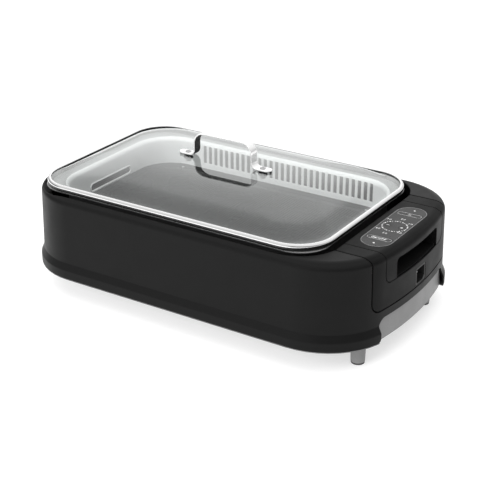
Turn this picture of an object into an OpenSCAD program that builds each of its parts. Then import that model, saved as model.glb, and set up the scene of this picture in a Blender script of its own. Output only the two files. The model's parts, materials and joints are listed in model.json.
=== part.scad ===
// Electric indoor grill: low housing with a lift-out heater and control
// module at one end, a deep grill tray, a drip tray, a smoke fan and a
// domed glass lid with a strap handle.
// +X is the control end, +Y is the back, +Z is up. The origin is on the
// floor under the middle of the housing. Millimetres.

/* [Housing] */
// Overall length of the skirt
body_l = 530; // [524:1:540]
// Overall depth of the skirt
body_w = 318; // [316:1:324]
// Corner radius of the skirt
body_r = 92; // [88:1:96]
// How far the ends bulge
end_bulge = 5.7; // [4:0.1:7]
// Wall thickness of the moulded shells
wall = 2.6; // [2.2:0.1:2.8]
// Height of the skirt's lower edge above the floor
foot_h = 33.8; // [32:0.1:36]

/* [Grill tray] */
// Distance of the lid's middle from the housing's middle
tray_x = -23.6; // [-24.2:0.1:-23]
// Distance of the cooking well's middle from the housing's middle
well_x = -20.9; // [-21.4:0.1:-20.4]
// Half length of the cooking well
well_hx = 193.1; // [192:0.1:193.6]
// Half depth of the cooking well
well_hy = 120; // [119:0.1:121]
// Corner radius of the cooking well
well_r = 50; // [46:1:54]
// Number of smoke slots in the back wall
slot_n = 30; // [20:1:30]
// Spacing of the smoke slots
slot_pitch = 9.25; // [9:0.05:9.3]
// Width of one smoke slot
slot_w = 5; // [4.4:0.1:5.4]

/* [Lid] */
// Length over the lid's rim bead
lid_l = 421; // [420:1:422]
// Depth over the lid's rim bead
lid_w = 272; // [271:1:273]
// Thickness of the glass
glass_t = 4; // [3.6:0.1:4.2]
// Width of the strap handle
strap_w = 13.5; // [12:0.5:15]
// Distance between the handle's screws
strap_pitch = 116; // [114:1:118]

/* [Controls] */
// Length of the touch panel
panel_l = 133; // [131:1:134]
// Width of the touch panel
panel_w = 40; // [39:0.5:41]
// Length of the long keys
key_l = 33; // [31:0.5:33.5]
// Width of the long keys
key_w = 9.5; // [9:0.1:10]
// How far a key travels
key_travel = 0.5; // [0.4:0.1:0.6]

/* [Fan] */
// Outside diameter of the fan wheel
fan_d = 47; // [44:1:47]
// Number of fan blades
fan_blades = 7; // [5:1:9]

/* [Hidden] */

// heights above the floor
z_s0 = foot_h;
z_s1 = z_s0 + 11.8;
z_w0 = z_s0 + 20.8;
z_w1 = z_s0 + 105.5;
z_d = z_s0 + 110.5;
// inward offsets of the wall, its top and the deck from the skirt
d_w0 = -4.1;
d_w1 = -6;
d_d = -15.5;
hx = body_l / 2 - body_r;
hy = body_w / 2 - body_r;
// deck opening
op_l = 439.5;
op_x = -23.25;
op_w = 286.8;
op_r = 54;
// control module
m_x0 = 196.5;
m_y = 100.7;
m_z0 = z_s0 + 39.8;
cap_y = 78;
grip_z0 = z_s0 + 71.8;
grip_z1 = z_s0 + 96.2;
panel_x = 224.7;
panel_y = -1.5;
// grill tray
z_floor = z_s0 + 68;
z_fl = z_s0 + 111;
z_frame = 97.2;
// lid
z_r0 = z_fl + 0.3;
z_r1 = z_s0 + 120;
z_g = z_s0 + 142.8;
z_tab = z_g + 1;
z_ht = 212;
fan_x = 222;
fan_y = -40;

function e_pts(d, n) = let (rho = (hy * hy + end_bulge * end_bulge) / (2 * end_bulge), a0 = asin(hy / rho))
    [for (i = [-n:n]) let (a = a0 * i / n) [hx - rho + (rho + body_r + d) * cos(a), (rho + body_r + d) * sin(a)]];
function c_pts(d, n) = let (rho = (hy * hy + end_bulge * end_bulge) / (2 * end_bulge), a0 = asin(hy / rho))
    [for (i = [1:n]) let (a = a0 + (90 - a0) * i / n) [hx - end_bulge + (body_r + d) * cos(a), hy + (body_r + d) * sin(a)]];
function rev(p) = [for (i = [len(p) - 1:-1:0]) p[i]];
function outline(d) = let (e = e_pts(d, 5), c = c_pts(d, 10))
    concat(e, c, [for (p = rev(c)) [-p[0], p[1]]], [for (p = rev(e)) [-p[0], p[1]]],
        [for (p = c) [-p[0], -p[1]]], [for (p = rev(c)) [p[0], -p[1]]]);

// one level of the body, offset d from the skirt
module slab(d, z0, z1) translate([0, 0, z0]) linear_extrude(z1 - z0) polygon(outline(d));
module loft(d0, z0, d1, z1) hull() {
    slab(d0, z0, z0 + 0.02);
    slab(d1, z1 - 0.02, z1);
}
// rounded rectangle
module rr(l, w, r) {
    square([l - 2 * r, w], center = true);
    square([l, w - 2 * r], center = true);
    for (sx = [-1, 1], sy = [-1, 1]) translate([sx * (l / 2 - r), sy * (w / 2 - r)]) circle(r, $fn = 72);
}
module rblock(cx, l, w, r, z0, z1) translate([cx, 0, z0]) linear_extrude(z1 - z0) rr(l, w, r);
// rounded rectangle standing across X, from x0 to x1
module xblock(x0, x1, w, z0, z1, r) translate([x0, 0, (z0 + z1) / 2]) rotate([90, 0, 90]) linear_extrude(x1 - x0) rr(w, z1 - z0, r);
module cyl(x, y, z0, z1, r) translate([x, y, z0]) cylinder(r = r, h = z1 - z0, $fn = 48);

boss_pts = [[-150, 143.6], [0, 143.6], [150, 143.6], [-150, -143.6], [0, -143.6], [150, -143.6]];
foot_pts = [[-228, -92], [228, -92], [-228, 92], [228, 92]];

module base_housing() color("#232323") {
    difference() {
        union() {
            slab(0, z_s0, z_s1);
            loft(0, z_s1, d_w0, z_w0);
            loft(d_w0, z_w0, d_w1, z_w1);
            loft(d_w1, z_w1, d_d, z_d);
        }
        difference() {
            union() {
                slab(-wall, z_s0 - 1, z_s1 - 1);
                loft(-wall, z_s1 - 1.02, d_w0 - wall, z_w0);
                loft(d_w0 - wall, z_w0 - 0.02, d_w1 - wall, z_w1 - wall);
                loft(d_w1 - wall, z_w1 - wall - 0.02, d_d - 1.5, z_d - wall);
            }
            // lip that hangs from the deck's edge
            rblock(op_x, op_l + 4.4, op_w + 4.4, op_r + 2.2, z_d - 13, z_d + 1);
        }
        rblock(op_x, op_l, op_w, op_r, z_s0 - 2, z_d + 1);
        // bay of the control module
        xblock(m_x0 - 4, 300, 2 * m_y + 1.6, m_z0 - 0.8, z_d + 60, 13);
        // grip arches in both ends of the skirt
        for (s = [-1, 1]) translate([s > 0 ? 240 : -300, 0, 0]) xblock(0, 60, 178, z_s0 - 30, z_s0 + 28.7, 12);
    }
    // screw columns
    for (p = boss_pts) difference() {
        union() {
            cyl(p[0], p[1], 37, 100, 4);
            translate([p[0] - 1.2, p[1] > 0 ? p[1] + 2 : p[1] - 8.6, 70]) cube([2.4, 6.6, 30]);
        }
        cyl(p[0], p[1], 36, 52, 1.35);
    }
}

module inner_frame() color("#3a3a3a") difference() {
    rblock(op_x, 429.5, 276, 48, 35.8, z_frame);
    rblock(op_x, 425.5, 272, 46, 35, z_frame - 2.4);
    rblock(op_x, 381.5, 228, 36, 35, z_frame + 1);
    // notch for the heater's legs
    translate([160, -38, 82]) cube([60, 76, 40]);
    // air ways to the fan
    for (y = [-100:16:100]) translate([180, y - 5, 44]) cube([20, 10, 26]);
}

module bottom_pan() color("#a9a9a9") difference() {
    union() {
        difference() {
            loft(-6, 33, -7.4, z_s0 + 32.2);
            loft(-8.2, 35.4, -9.6, z_s0 + 33);
        }
        // narrow flange under the skirt
        difference() {
            slab(-0.5, 32.5, 33.5);
            slab(-8, 32, 33);
            for (s = [-1, 1]) translate([s > 0 ? 225 : -325, -91, 32]) cube([100, 182, 2]);
        }
        // ribs that carry the drip tray
        for (y = [-75, -25, 25, 75]) translate([-190, y - 1.5, 35]) cube([330, 3, 8.5]);
        // posts of the fan
        for (sx = [-1, 1], sy = [-1, 1]) cyl(fan_x + sx * 22, fan_y + sy * 22, 35, 38, 3.4);
        for (p = boss_pts) cyl(p[0], p[1], 33, 37, 4.4);
    }
    // grille under the fan
    for (i = [-3:3]) translate([fan_x - 18, fan_y + i * 5.6 - 1.5, 32]) cube([36, 3, 5]);
    for (sx = [-1, 1], sy = [-1, 1]) cyl(fan_x + sx * 22, fan_y + sy * 22, 32, 39, 1.2);
    // air inlets along the middle
    for (x = [-150:20:130]) translate([x - 6, -1.6, 32]) cube([12, 3.2, 14]);
    for (p = boss_pts) {
        cyl(p[0], p[1], 32, 38, 1.8);
        cyl(p[0], p[1], 32, 34.4, 3.6);
    }
}

module feet() color("#8d8d8d") for (p = foot_pts) {
    cyl(p[0], p[1], 2.4, 33, 9.5);
    cyl(p[0], p[1], 30.4, 33, 13);
}
module foot_pads() color("#5a5a5a") for (p = foot_pts) {
    cyl(p[0], p[1], 0, 2.4, 8.6);
}
module base_screws() color("silver") for (p = boss_pts) difference() {
    union() {
        cyl(p[0], p[1], 32.6, 34.4, 3.2);
        cyl(p[0], p[1], 34.4, 48, 1.3);
    }
    for (a = [0, 90]) translate([p[0], p[1], 32.5]) rotate(a) cube([3.6, 0.8, 1.8], center = true);
}

module fan_frame() color("#2b2b2b") difference() {
    translate([fan_x, fan_y, 38]) linear_extrude(18) rr(54, 54, 5);
    cyl(fan_x, fan_y, 37, 60, 24.6);
    for (sx = [-1, 1], sy = [-1, 1]) cyl(fan_x + sx * 22, fan_y + sy * 22, 37, 60, 1.5);
}
module fan_motor() color("#4d4d4d") difference() {
    union() {
        cyl(fan_x, fan_y, 39, 46, 8.6);
        for (a = [45:90:315]) translate([fan_x, fan_y, 40]) rotate(a) translate([8, -1.2, 0]) cube([16.55, 2.4, 3]);
    }
    cyl(fan_x, fan_y, 40.4, 50, 1.55);
}
module fan_shaft() color("silver") cyl(fan_x, fan_y, 40.6, 54, 1.5);
module fan_wheel() color("#1d1d1d") difference() {
    union() {
        cyl(fan_x, fan_y, 46.6, 55.4, 10);
        for (i = [0:fan_blades - 1]) translate([fan_x, fan_y, 51]) rotate(i * 360 / fan_blades) translate([9, 0, 0])
            rotate([35, 0, 0]) translate([0, -4.6, -0.7]) cube([fan_d / 2 - 9.4, 9.2, 1.4]);
    }
    cyl(fan_x, fan_y, 46, 54, 1.5);
}
module fan_screws() color("silver") for (sx = [-1, 1], sy = [-1, 1]) {
    cyl(fan_x + sx * 22, fan_y + sy * 22, 56, 57.8, 2.8);
    cyl(fan_x + sx * 22, fan_y + sy * 22, 36, 56, 1.15);
}
module base_contact_block() color("#1e1e1e") difference() {
    translate([216, 44, 35.4]) cube([16, 26, 32.6]);
    for (y = [51, 63]) cyl(224, y, 60, 70, 1.5);
}
module base_contact_pins() color("#c8a24a") for (y = [51, 63]) cyl(224, y, 60, 78.4, 1.5);

module drip_tray() color("#b9b9b9") difference() {
    union() {
        rblock(-23, 366, 212, 38, 43.9, 82);
        rblock(-23, 374, 220, 42, 80.6, 82);
    }
    rblock(-23, 363, 209, 36.5, 45.4, 83);
}

// volume of the control module, shrunk by i
module mod_solid(i) intersection() {
    union() {
        loft(d_w0 - i, z_w0, d_w1 - i, z_w1 + 0.01);
        loft(d_w1 - i, z_w1, d_d - i, z_d - i);
    }
    xblock(m_x0 + i, 300, 2 * (m_y - i), m_z0 + i, z_d + 60, 12.2 - i);
}
module cap_zone(c) xblock(m_x0 - 1, 300, 2 * (cap_y + c), grip_z0 - 0.3 - c, z_d + 60, 10);
module grip_zone(c) xblock(228 - c, 300, 110 + 2 * c, grip_z0 - c, grip_z1 + c, 5);
module inlet_zone(c, x0, x1) translate([x0, 6, 86.3]) rotate([90, 0, 90]) linear_extrude(x1 - x0) rr(27 + 2 * c, 23 + 2 * c, 3);

function screw_z(y) = y * y > 5000 ? 84 : 126;
module screw_bore(y) translate([m_x0, y, screw_z(y)]) rotate([0, 90, 0]) cylinder(r = 1.25, h = 12, $fn = 32);
module control_housing() color("#262626") difference() {
    union() {
        difference() {
            mod_solid(0);
            mod_solid(2.4);
            cap_zone(0.3);
            grip_zone(0.2);
            // open inner side, closed by the module's back plate
            xblock(m_x0 - 2, m_x0 + 3, 2 * m_y - 8, m_z0 + 4, z_d - 6, 8);
            inlet_zone(0.1, 230, 270);
            for (y = [51, 63]) cyl(224, y, 70, 80, 2.2);
        }
        // blocks for the lower screws
        for (s = [-1, 1]) translate([m_x0 + 2.2, s * 84 - 3.5, m_z0 + 2.2]) cube([5.3, 7, 12]);
    }
    for (s = [-1, 1]) screw_bore(s * 84);
}
module control_cap() color("#242424") difference() {
    union() {
        difference() {
            intersection() {
                difference() {
                    mod_solid(0);
                    mod_solid(2.4);
                }
                cap_zone(0);
            }
            grip_zone(0.2);
            xblock(m_x0 - 2, m_x0 + 3, 2 * m_y - 8, m_z0 + 4, z_d - 6, 8);
        }
        // blocks for the upper screws
        for (s = [-1, 1]) translate([m_x0 + 2.2, s * 62 - 3.5, 122.5]) cube([4.2, 7, z_d - 2.2 - 122.5]);
    }
    for (s = [-1, 1]) screw_bore(s * 62);
    translate([panel_x, panel_y, z_d - 1.3]) linear_extrude(3) rr(panel_w + 0.3, panel_l + 0.3, 20.1);
    // openings for the keys and lenses
    for (s = [-1, 1]) translate([225, panel_y + s * 41.6, z_d - 5]) linear_extrude(8) rr(key_l + 0.8, key_w + 0.8, 4.4);
    for (s = [-1, 1]) cyl(225 + s * 9.2, panel_y, z_d - 5, z_d + 1, 4.4);
    for (s = [-1, 1]) cyl(225, panel_y + s * 56.3, z_d - 5, z_d + 1, 1.6);
    for (i = [0:11]) cyl(225 + 15.6 * cos(i * 30 + 15), panel_y + 15.6 * sin(i * 30 + 15), z_d - 5, z_d + 1, 1.1);
}
module grip_pocket() color("#0c0c0c") intersection() {
    difference() {
        grip_zone(1.6);
        translate([1.6, 0, 0]) grip_zone(0);
        // lighter where it meets the shell
    }
    mod_solid(2.5);
}
module module_back() color("#303030") difference() {
    xblock(m_x0 + 0.2, m_x0 + 2.2, 2 * m_y - 8.4, m_z0 + 4.2, z_d - 6.2, 7.8);
    for (s = [-1, 1]) translate([m_x0 - 1, s * 25, 90.5]) rotate([0, 90, 0]) cylinder(r = 4.2, h = 6, $fn = 48);
    translate([m_x0 - 1, -7, 84]) cube([5, 14, 13]);
    for (y = [-84, -62, 62, 84]) translate([m_x0 - 1, y, screw_z(y)]) rotate([0, 90, 0]) cylinder(r = 1.3, h = 6, $fn = 32);
}
module touch_panel() color("#3c3c3e") difference() {
    translate([panel_x, panel_y, z_d - 1.2]) linear_extrude(1.3) rr(panel_w, panel_l, 19.95);
    for (s = [-1, 1]) translate([225, panel_y + s * 41.6, z_d - 5]) linear_extrude(8) rr(key_l + 0.6, key_w + 0.6, 4.3);
    for (s = [-1, 1]) cyl(225 + s * 9.2, panel_y, z_d - 5, z_d + 1, 4.3);
    for (s = [-1, 1]) cyl(225, panel_y + s * 56.3, z_d - 5, z_d + 1, 1.3);
    for (i = [0:11]) cyl(225 + 15.6 * cos(i * 30 + 15), panel_y + 15.6 * sin(i * 30 + 15), z_d - 5, z_d + 1, 0.8);
}
// frame under the cap that guides the keys and holds the board
module panel_carrier() color("#1a1a1a") difference() {
    translate([panel_x, panel_y, z_d - 4.6]) linear_extrude(2) rr(panel_w - 2.6, panel_l - 4, 12);
    for (s = [-1, 1]) translate([225, panel_y + s * 41.6, z_d - 6]) linear_extrude(8) rr(key_l + 0.6, key_w + 0.6, 4.3);
    for (s = [-1, 1]) cyl(225 + s * 9.2, panel_y, z_d - 6, z_d + 1, 4.3);
    for (s = [-1, 1]) cyl(225, panel_y + s * 56.3, z_d - 6, z_d + 1, 1.3);
    for (i = [0:11]) cyl(225 + 15.6 * cos(i * 30 + 15), panel_y + 15.6 * sin(i * 30 + 15), z_d - 6, z_d + 1, 0.8);
}
module long_key(s) translate([225, panel_y + s * 41.6, 0]) {
    translate([0, 0, z_d - 4.6]) linear_extrude(4.7) rr(key_l, key_w, 4);
    cyl(0, 0, z_d - 5.6, z_d - 4.6, 2);
}
module round_key(s) translate([225 + s * 9.2, panel_y, 0]) {
    cyl(0, 0, z_d - 4.6, z_d + 0.1, 4);
    cyl(0, 0, z_d - 5.6, z_d - 4.6, 1.6);
}
module power_key() color("#3c3c3e") long_key(-1);
module fan_key() color("#3c3c3e") long_key(1);
module minus_key() color("#3c3c3e") round_key(-1);
module plus_key() color("#3c3c3e") round_key(1);
module indicator_lenses() color("#e8e8e8") {
    for (s = [-1, 1]) cyl(225, panel_y + s * 56.3, z_d - 7, z_d + 0.1, 1.2);
    for (i = [0:11]) cyl(225 + 15.6 * cos(i * 30 + 15), panel_y + 15.6 * sin(i * 30 + 15), z_d - 7, z_d + 0.1, 0.7);
}
module control_board() color("#1f4a2c") translate([panel_x, panel_y, z_d - 8.8]) linear_extrude(1.6) rr(38, 126, 2);
module tactile_switches() color("#2a2a2a") {
    for (p = [[225, panel_y - 41.6], [225, panel_y + 41.6], [225 - 9.2, panel_y], [225 + 9.2, panel_y]])
        translate([p[0] - 3, p[1] - 3, z_d - 7.2]) cube([6, 6, 0.9]);
}
module inlet_shell() color("#151515") difference() {
    intersection() {
        inlet_zone(0, 236, 262);
        union() {
            loft(d_w0 + 0.3, z_w0, d_w1 + 0.3, z_w1 + 0.01);
        }
    }
    // socket with one bevelled corner
    translate([243, 6, 86.3]) rotate([90, 0, 90]) linear_extrude(30) difference() {
        square([22, 18.4], center = true);
        translate([11, -9.2]) rotate(45) square([7, 7], center = true);
        translate([-11, -9.2]) rotate(45) square([2, 2], center = true);
    }
    for (p = [[0, 3], [-6.5, -2.5], [6.5, -2.5]]) translate([235, 6 + p[0], 86.3 + p[1]]) rotate([0, 90, 0]) cylinder(r = 1.5, h = 20, $fn = 32);
}
module inlet_pins() color("#d9d9d9") for (p = [[0, 3], [-6.5, -2.5], [6.5, -2.5]])
    translate([232, 6 + p[0], 86.3 + p[1]]) rotate([0, 90, 0]) cylinder(r = 1.5, h = 20, $fn = 32);
module module_contact() color("#1e1e1e") difference() {
    translate([217, 45, m_z0 + 2.4]) cube([14, 24, 9]);
    for (y = [51, 63]) cyl(224, y, m_z0, m_z0 + 6.4, 2);
}
module module_screws() color("silver") for (y = [-84, -62, 62, 84]) translate([m_x0 - 0.9, y, screw_z(y)]) rotate([0, 90, 0]) {
    cylinder(r = 2.6, h = 1.1, $fn = 32);
    cylinder(r = 1.2, h = 6.6, $fn = 32);
}

// tubular heater, one loop in plan
e_z = 90.5;
module tube_x(x0, x1, y, r) translate([x0, y, e_z]) rotate([0, 90, 0]) cylinder(r = r, h = x1 - x0, $fn = 32);
module bend(x, y, rad, a0, a1, r) translate([x, y, e_z]) rotate([0, 0, a0]) rotate_extrude(angle = a1 - a0, $fn = 96) translate([rad, 0]) circle(r, $fn = 32);
module heating_element() color("#3b3634") for (s = [0, 1]) mirror([0, s, 0]) {
    tube_x(170, 208, 25, 3.5);
    bend(170, 45, 20, 180, 270, 3.5);
    translate([150, 45, e_z]) rotate([-90, 0, 0]) cylinder(r = 3.5, h = 20, $fn = 32);
    bend(130, 65, 20, 0, 90, 3.5);
    tube_x(-170, 130, 85, 3.5);
    bend(-170, 55, 30, 90, 270, 3.5);
    tube_x(-170, 90, 25, 3.5);
    bend(90, 0, 25, 0, 90, 3.5);
}
module element_bracket() color("#9a9a9a") difference() {
    translate([m_x0 + 2.2, -42, 80]) cube([1.6, 84, 19]);
    for (s = [-1, 1]) translate([m_x0, s * 25, e_z]) rotate([0, 90, 0]) cylinder(r = 3.55, h = 6, $fn = 48);
    translate([m_x0, -6, 85]) cube([6, 12, 11]);
}
module element_terminals() color("#e6e0d4") for (s = [-1, 1]) translate([208, s * 25, e_z]) rotate([0, 90, 0]) {
    cylinder(r = 4.6, h = 7, $fn = 32);
    translate([-0.5, -3, 7]) cube([1, 6, 7]);
}
module element_supports() color("#8a8a8a") for (x = [-110, 40]) {
    translate([x - 4, -95, e_z - 5.9]) cube([8, 190, 2.4]);
    for (y = [-85, -25, 25, 85], s = [-1, 1]) translate([x - 4, y + s * 4.6 - 0.6, e_z - 4]) cube([8, 1.2, 5]);
}
module thermostat_probe() color("#c9c9c9") {
    cyl(150, 0, 88, 95.2, 7);
    translate([150, -4, 88.2]) cube([52, 8, 1.4]);
    translate([200.4, -4, 85.6]) cube([6, 8, 9]);
}

module tray_wall() color("#c6c6c6") difference() {
    union() {
        rblock(well_x, 2 * well_hx + 3.2, 2 * well_hy + 3.2, well_r + 1.6, 97.5, z_fl);
        rblock(tray_x, lid_l - 1, lid_w - 1, 40, z_fl - 1.6, z_fl);
        hull() {
            rblock(well_x, 2 * well_hx + 3.2, 2 * well_hy + 3.2, well_r + 1.6, z_fl - 7.8, z_fl - 7.7);
            rblock(well_x, 2 * well_hx + 15.8, 2 * well_hy + 15.8, well_r + 7.9, z_fl - 1.5, z_fl - 1.4);
        }
    }
    rblock(well_x, 2 * well_hx, 2 * well_hy, well_r, 99.1, z_fl + 1);
    rblock(well_x, 2 * well_hx - 22, 2 * well_hy - 22, well_r - 11, 97, z_fl + 1);
    // the wall flares into the flange
    hull() {
        rblock(well_x, 2 * well_hx, 2 * well_hy, well_r, z_fl - 7, z_fl - 6.9);
        rblock(well_x, 2 * well_hx + 14, 2 * well_hy + 14, well_r + 7, z_fl, z_fl + 0.1);
    }
    // smoke slots
    for (i = [0:slot_n - 1]) translate([-2 + (i - (slot_n - 1) / 2) * slot_pitch - slot_w / 2, well_hy - 3, z_s0 + 79.3])
        cube([slot_w, 8, 25.9]);
    // finger slots in both end walls
    translate([well_x, 0, 0]) xblock(-200, 200, 88, z_s0 + 74.5, z_s0 + 83.5, 4);
}
module grill_plate() color("#5b5b5b") difference() {
    union() {
        rblock(well_x, 2 * well_hx - 0.4, 2 * well_hy - 0.4, well_r - 0.2, 99.2, z_floor + 3.5);
        rblock(well_x, 2 * well_hx - 22.4, 2 * well_hy - 22.4, well_r - 11.2, 95.6, 99.3);
    }
    hull() {
        rblock(well_x, 2 * well_hx - 14, 2 * well_hy - 14, well_r - 7, z_floor, z_floor + 0.1);
        rblock(well_x, 2 * well_hx - 1, 2 * well_hy - 1, well_r - 0.5, z_floor + 3.6, z_floor + 6);
    }
    // drain slots along both long sides
    for (s = [-1, 1], x = [-150:50:110]) translate([x + well_x / 2 - 14, s * 108 - 1.5, 90]) cube([28, 3, 20]);
    for (sx = [-1, 1], sy = [-1, 1]) {
        cyl(well_x + sx * 150, sy * 114.5, 98, 103, 1.6);
        // room for the screw's head where the edge curves up
        cyl(well_x + sx * 150, sy * 114.5, z_floor, z_floor + 6, 3.1);
    }
}
module plate_screws() color("silver") for (sx = [-1, 1], sy = [-1, 1]) {
    cyl(well_x + sx * 150, sy * 114.5, z_floor, z_floor + 1.2, 2.8);
    cyl(well_x + sx * 150, sy * 114.5, 99.1, z_floor, 1.5);
}

// the rim is a channel that holds the seal and the glass's edge
module lid_rim() color("#d8d8d8") difference() {
    rblock(tray_x, lid_l + 3.6, lid_w + 3.6, 51.2, z_r0, z_r1);
    rblock(tray_x, lid_l + 0.2, lid_w + 0.2, 49.5, z_r0 + 1.2, z_r1 - 1.2);
    rblock(tray_x, lid_l - 9, lid_w - 9, 44.9, z_r0 - 1, z_r0 + 3);
    rblock(tray_x, lid_l - 6, lid_w - 6, 46.4, z_r1 - 3, z_r1 + 1);
}
module lid_seal() color("#161616") difference() {
    rblock(tray_x, lid_l - 0.4, lid_w - 0.4, 49.2, z_r0 + 1.5, z_r1 - 1.5);
    rblock(tray_x, lid_l - 2.4, lid_w - 2.4, 48.2, z_r0 + 2.8, z_r1);
    rblock(tray_x, lid_l - 9.4, lid_w - 9.4, 44.7, z_r0, z_r1);
}
// levels of the dome: inward offset and drop below the top
dome = [[5, 24.4], [20, 16.6], [42, 9.2], [70, 3.4], [98, 0.7], [120, 0]];
module dome_solid(i, dz) hull() for (p = dome) rblock(tray_x, lid_l - 2 * p[0] - 2 * i, lid_w - 2 * p[0] - 2 * i,
    max(6, 49 - p[0] * 0.36), z_g - p[1] - dz - 0.2, z_g - p[1] - dz);
module lid_glass() color("#dfe8ea", 0.35) difference() {
    union() {
        dome_solid(0, 0);
        rblock(tray_x, lid_l - 3, lid_w - 3, 47.9, z_r1 - 5.6, z_r1 - 1.6);
    }
    dome_solid(glass_t * 0.6, glass_t);
    for (s = [-1, 1]) cyl(-22.5 + s * strap_pitch / 2, 0, z_g - 10, z_g + 2, 3);
}
// strap handle: outline in the XZ plane, mirrored about its middle
module strap_half() {
    // tab
    translate([52, z_tab]) square([12, 2.2]);
    // foot bend
    translate([52, z_tab + 9]) difference() {
        circle(9, $fn = 72);
        circle(6.8, $fn = 72);
        translate([0, -20]) square([20, 40]);
        translate([-20, 0]) square([40, 20]);
    }
    // leg
    translate([43, z_tab + 9]) square([2.2, z_ht - 16 - z_tab - 9]);
    // shoulder bend
    translate([29.2, z_ht - 16]) difference() {
        circle(16, $fn = 96);
        circle(13.8, $fn = 96);
        translate([-20, -20]) square([20, 40]);
        translate([-20, -20]) square([40, 20]);
    }
    translate([-0.1, z_ht - 2.2]) square([29.4, 2.2]);
}
module lid_handle() color("#dcdcdc") translate([-22.5, 0, 0]) difference() {
    union() {
        for (s = [0, 1]) mirror([s, 0, 0]) translate([0, strap_w / 2, 0]) rotate([90, 0, 0]) linear_extrude(strap_w) strap_half();
        for (s = [-1, 1]) cyl(s * 64, 0, z_tab, z_tab + 2.2, strap_w / 2);
    }
    for (s = [-1, 1]) cyl(s * strap_pitch / 2, 0, z_tab - 1, z_tab + 3, 2.2);
}
module handle_screws() color("silver") for (s = [-1, 1]) translate([-22.5 + s * strap_pitch / 2, 0, 0]) difference() {
    union() {
        cyl(0, 0, z_tab + 2.2, z_tab + 3.4, 4);
        cyl(0, 0, z_g - 9, z_tab + 2.2, 2);
    }
    translate([0, 0, z_tab + 3.2]) cube([5, 0.9, 1], center = true);
}
module handle_washers() color("#222222") for (s = [-1, 1]) translate([-22.5 + s * strap_pitch / 2, 0, 0]) difference() {
    union() {
        cyl(0, 0, z_g, z_tab, 6.4);
        cyl(0, 0, z_g - glass_t - 1.2, z_g - glass_t, 6.4);
    }
    cyl(0, 0, z_g - 10, z_tab + 1, 2.1);
}
module handle_nuts() color("silver") for (s = [-1, 1]) translate([-22.5 + s * strap_pitch / 2, 0, 0]) difference() {
    cyl(0, 0, z_g - 10.2, z_g - glass_t - 1.2, 4.4);
    cyl(0, 0, z_g - 9.2, z_g, 2.02);
}

base_housing();
inner_frame();
bottom_pan();
feet();
foot_pads();
base_screws();
fan_frame();
fan_motor();
fan_wheel();
fan_shaft();
fan_screws();
base_contact_block();
base_contact_pins();
drip_tray();
control_housing();
control_cap();
grip_pocket();
module_back();
touch_panel();
panel_carrier();
power_key();
fan_key();
minus_key();
plus_key();
indicator_lenses();
control_board();
tactile_switches();
inlet_shell();
inlet_pins();
module_contact();
module_screws();
heating_element();
element_bracket();
element_terminals();
element_supports();
thermostat_probe();
tray_wall();
grill_plate();
plate_screws();
lid_glass();
lid_rim();
lid_seal();
lid_handle();
handle_screws();
handle_washers();
handle_nuts();
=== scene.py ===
import json
import math

import bpy
import numpy as np
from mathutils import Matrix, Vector
from mathutils.geometry import delaunay_2d_cdt


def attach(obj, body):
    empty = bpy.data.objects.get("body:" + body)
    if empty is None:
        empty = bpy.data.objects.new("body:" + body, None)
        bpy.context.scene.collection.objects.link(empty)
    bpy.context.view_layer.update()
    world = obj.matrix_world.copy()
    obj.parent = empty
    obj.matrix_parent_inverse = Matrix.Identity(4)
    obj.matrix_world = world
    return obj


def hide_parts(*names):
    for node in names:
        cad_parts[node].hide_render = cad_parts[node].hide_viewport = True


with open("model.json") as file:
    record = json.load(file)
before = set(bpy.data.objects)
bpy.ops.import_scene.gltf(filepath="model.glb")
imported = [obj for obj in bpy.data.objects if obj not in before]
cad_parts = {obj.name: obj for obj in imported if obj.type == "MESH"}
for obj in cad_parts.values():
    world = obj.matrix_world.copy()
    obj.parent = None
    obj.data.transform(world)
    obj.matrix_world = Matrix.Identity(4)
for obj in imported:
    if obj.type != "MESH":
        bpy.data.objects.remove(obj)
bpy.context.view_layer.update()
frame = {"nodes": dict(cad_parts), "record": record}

MM = 0.001
PI = math.pi

# ------------------------------------------------------------------ camera
cam_data = bpy.data.cameras.new("camera")
cam_data.sensor_width = 36.0
cam_data.lens = 1227.86 / 484 * 36.0
cam_data.clip_start, cam_data.clip_end = 0.05, 30
cam = bpy.data.objects.new("camera", cam_data)
bpy.context.scene.collection.objects.link(cam)
bpy.context.scene.camera = cam
az, el, dist = math.radians(32.56), math.radians(24.61), 1.6336
target = Vector((0.00369, 0.0, 0.0683))
back = Vector((math.sin(az) * math.cos(el), -math.cos(az) * math.cos(el), math.sin(el)))
cam.location = target + back * dist
cam.rotation_mode = "QUATERNION"
cam.rotation_quaternion = (-back).to_track_quat("-Z", "Y")


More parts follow.
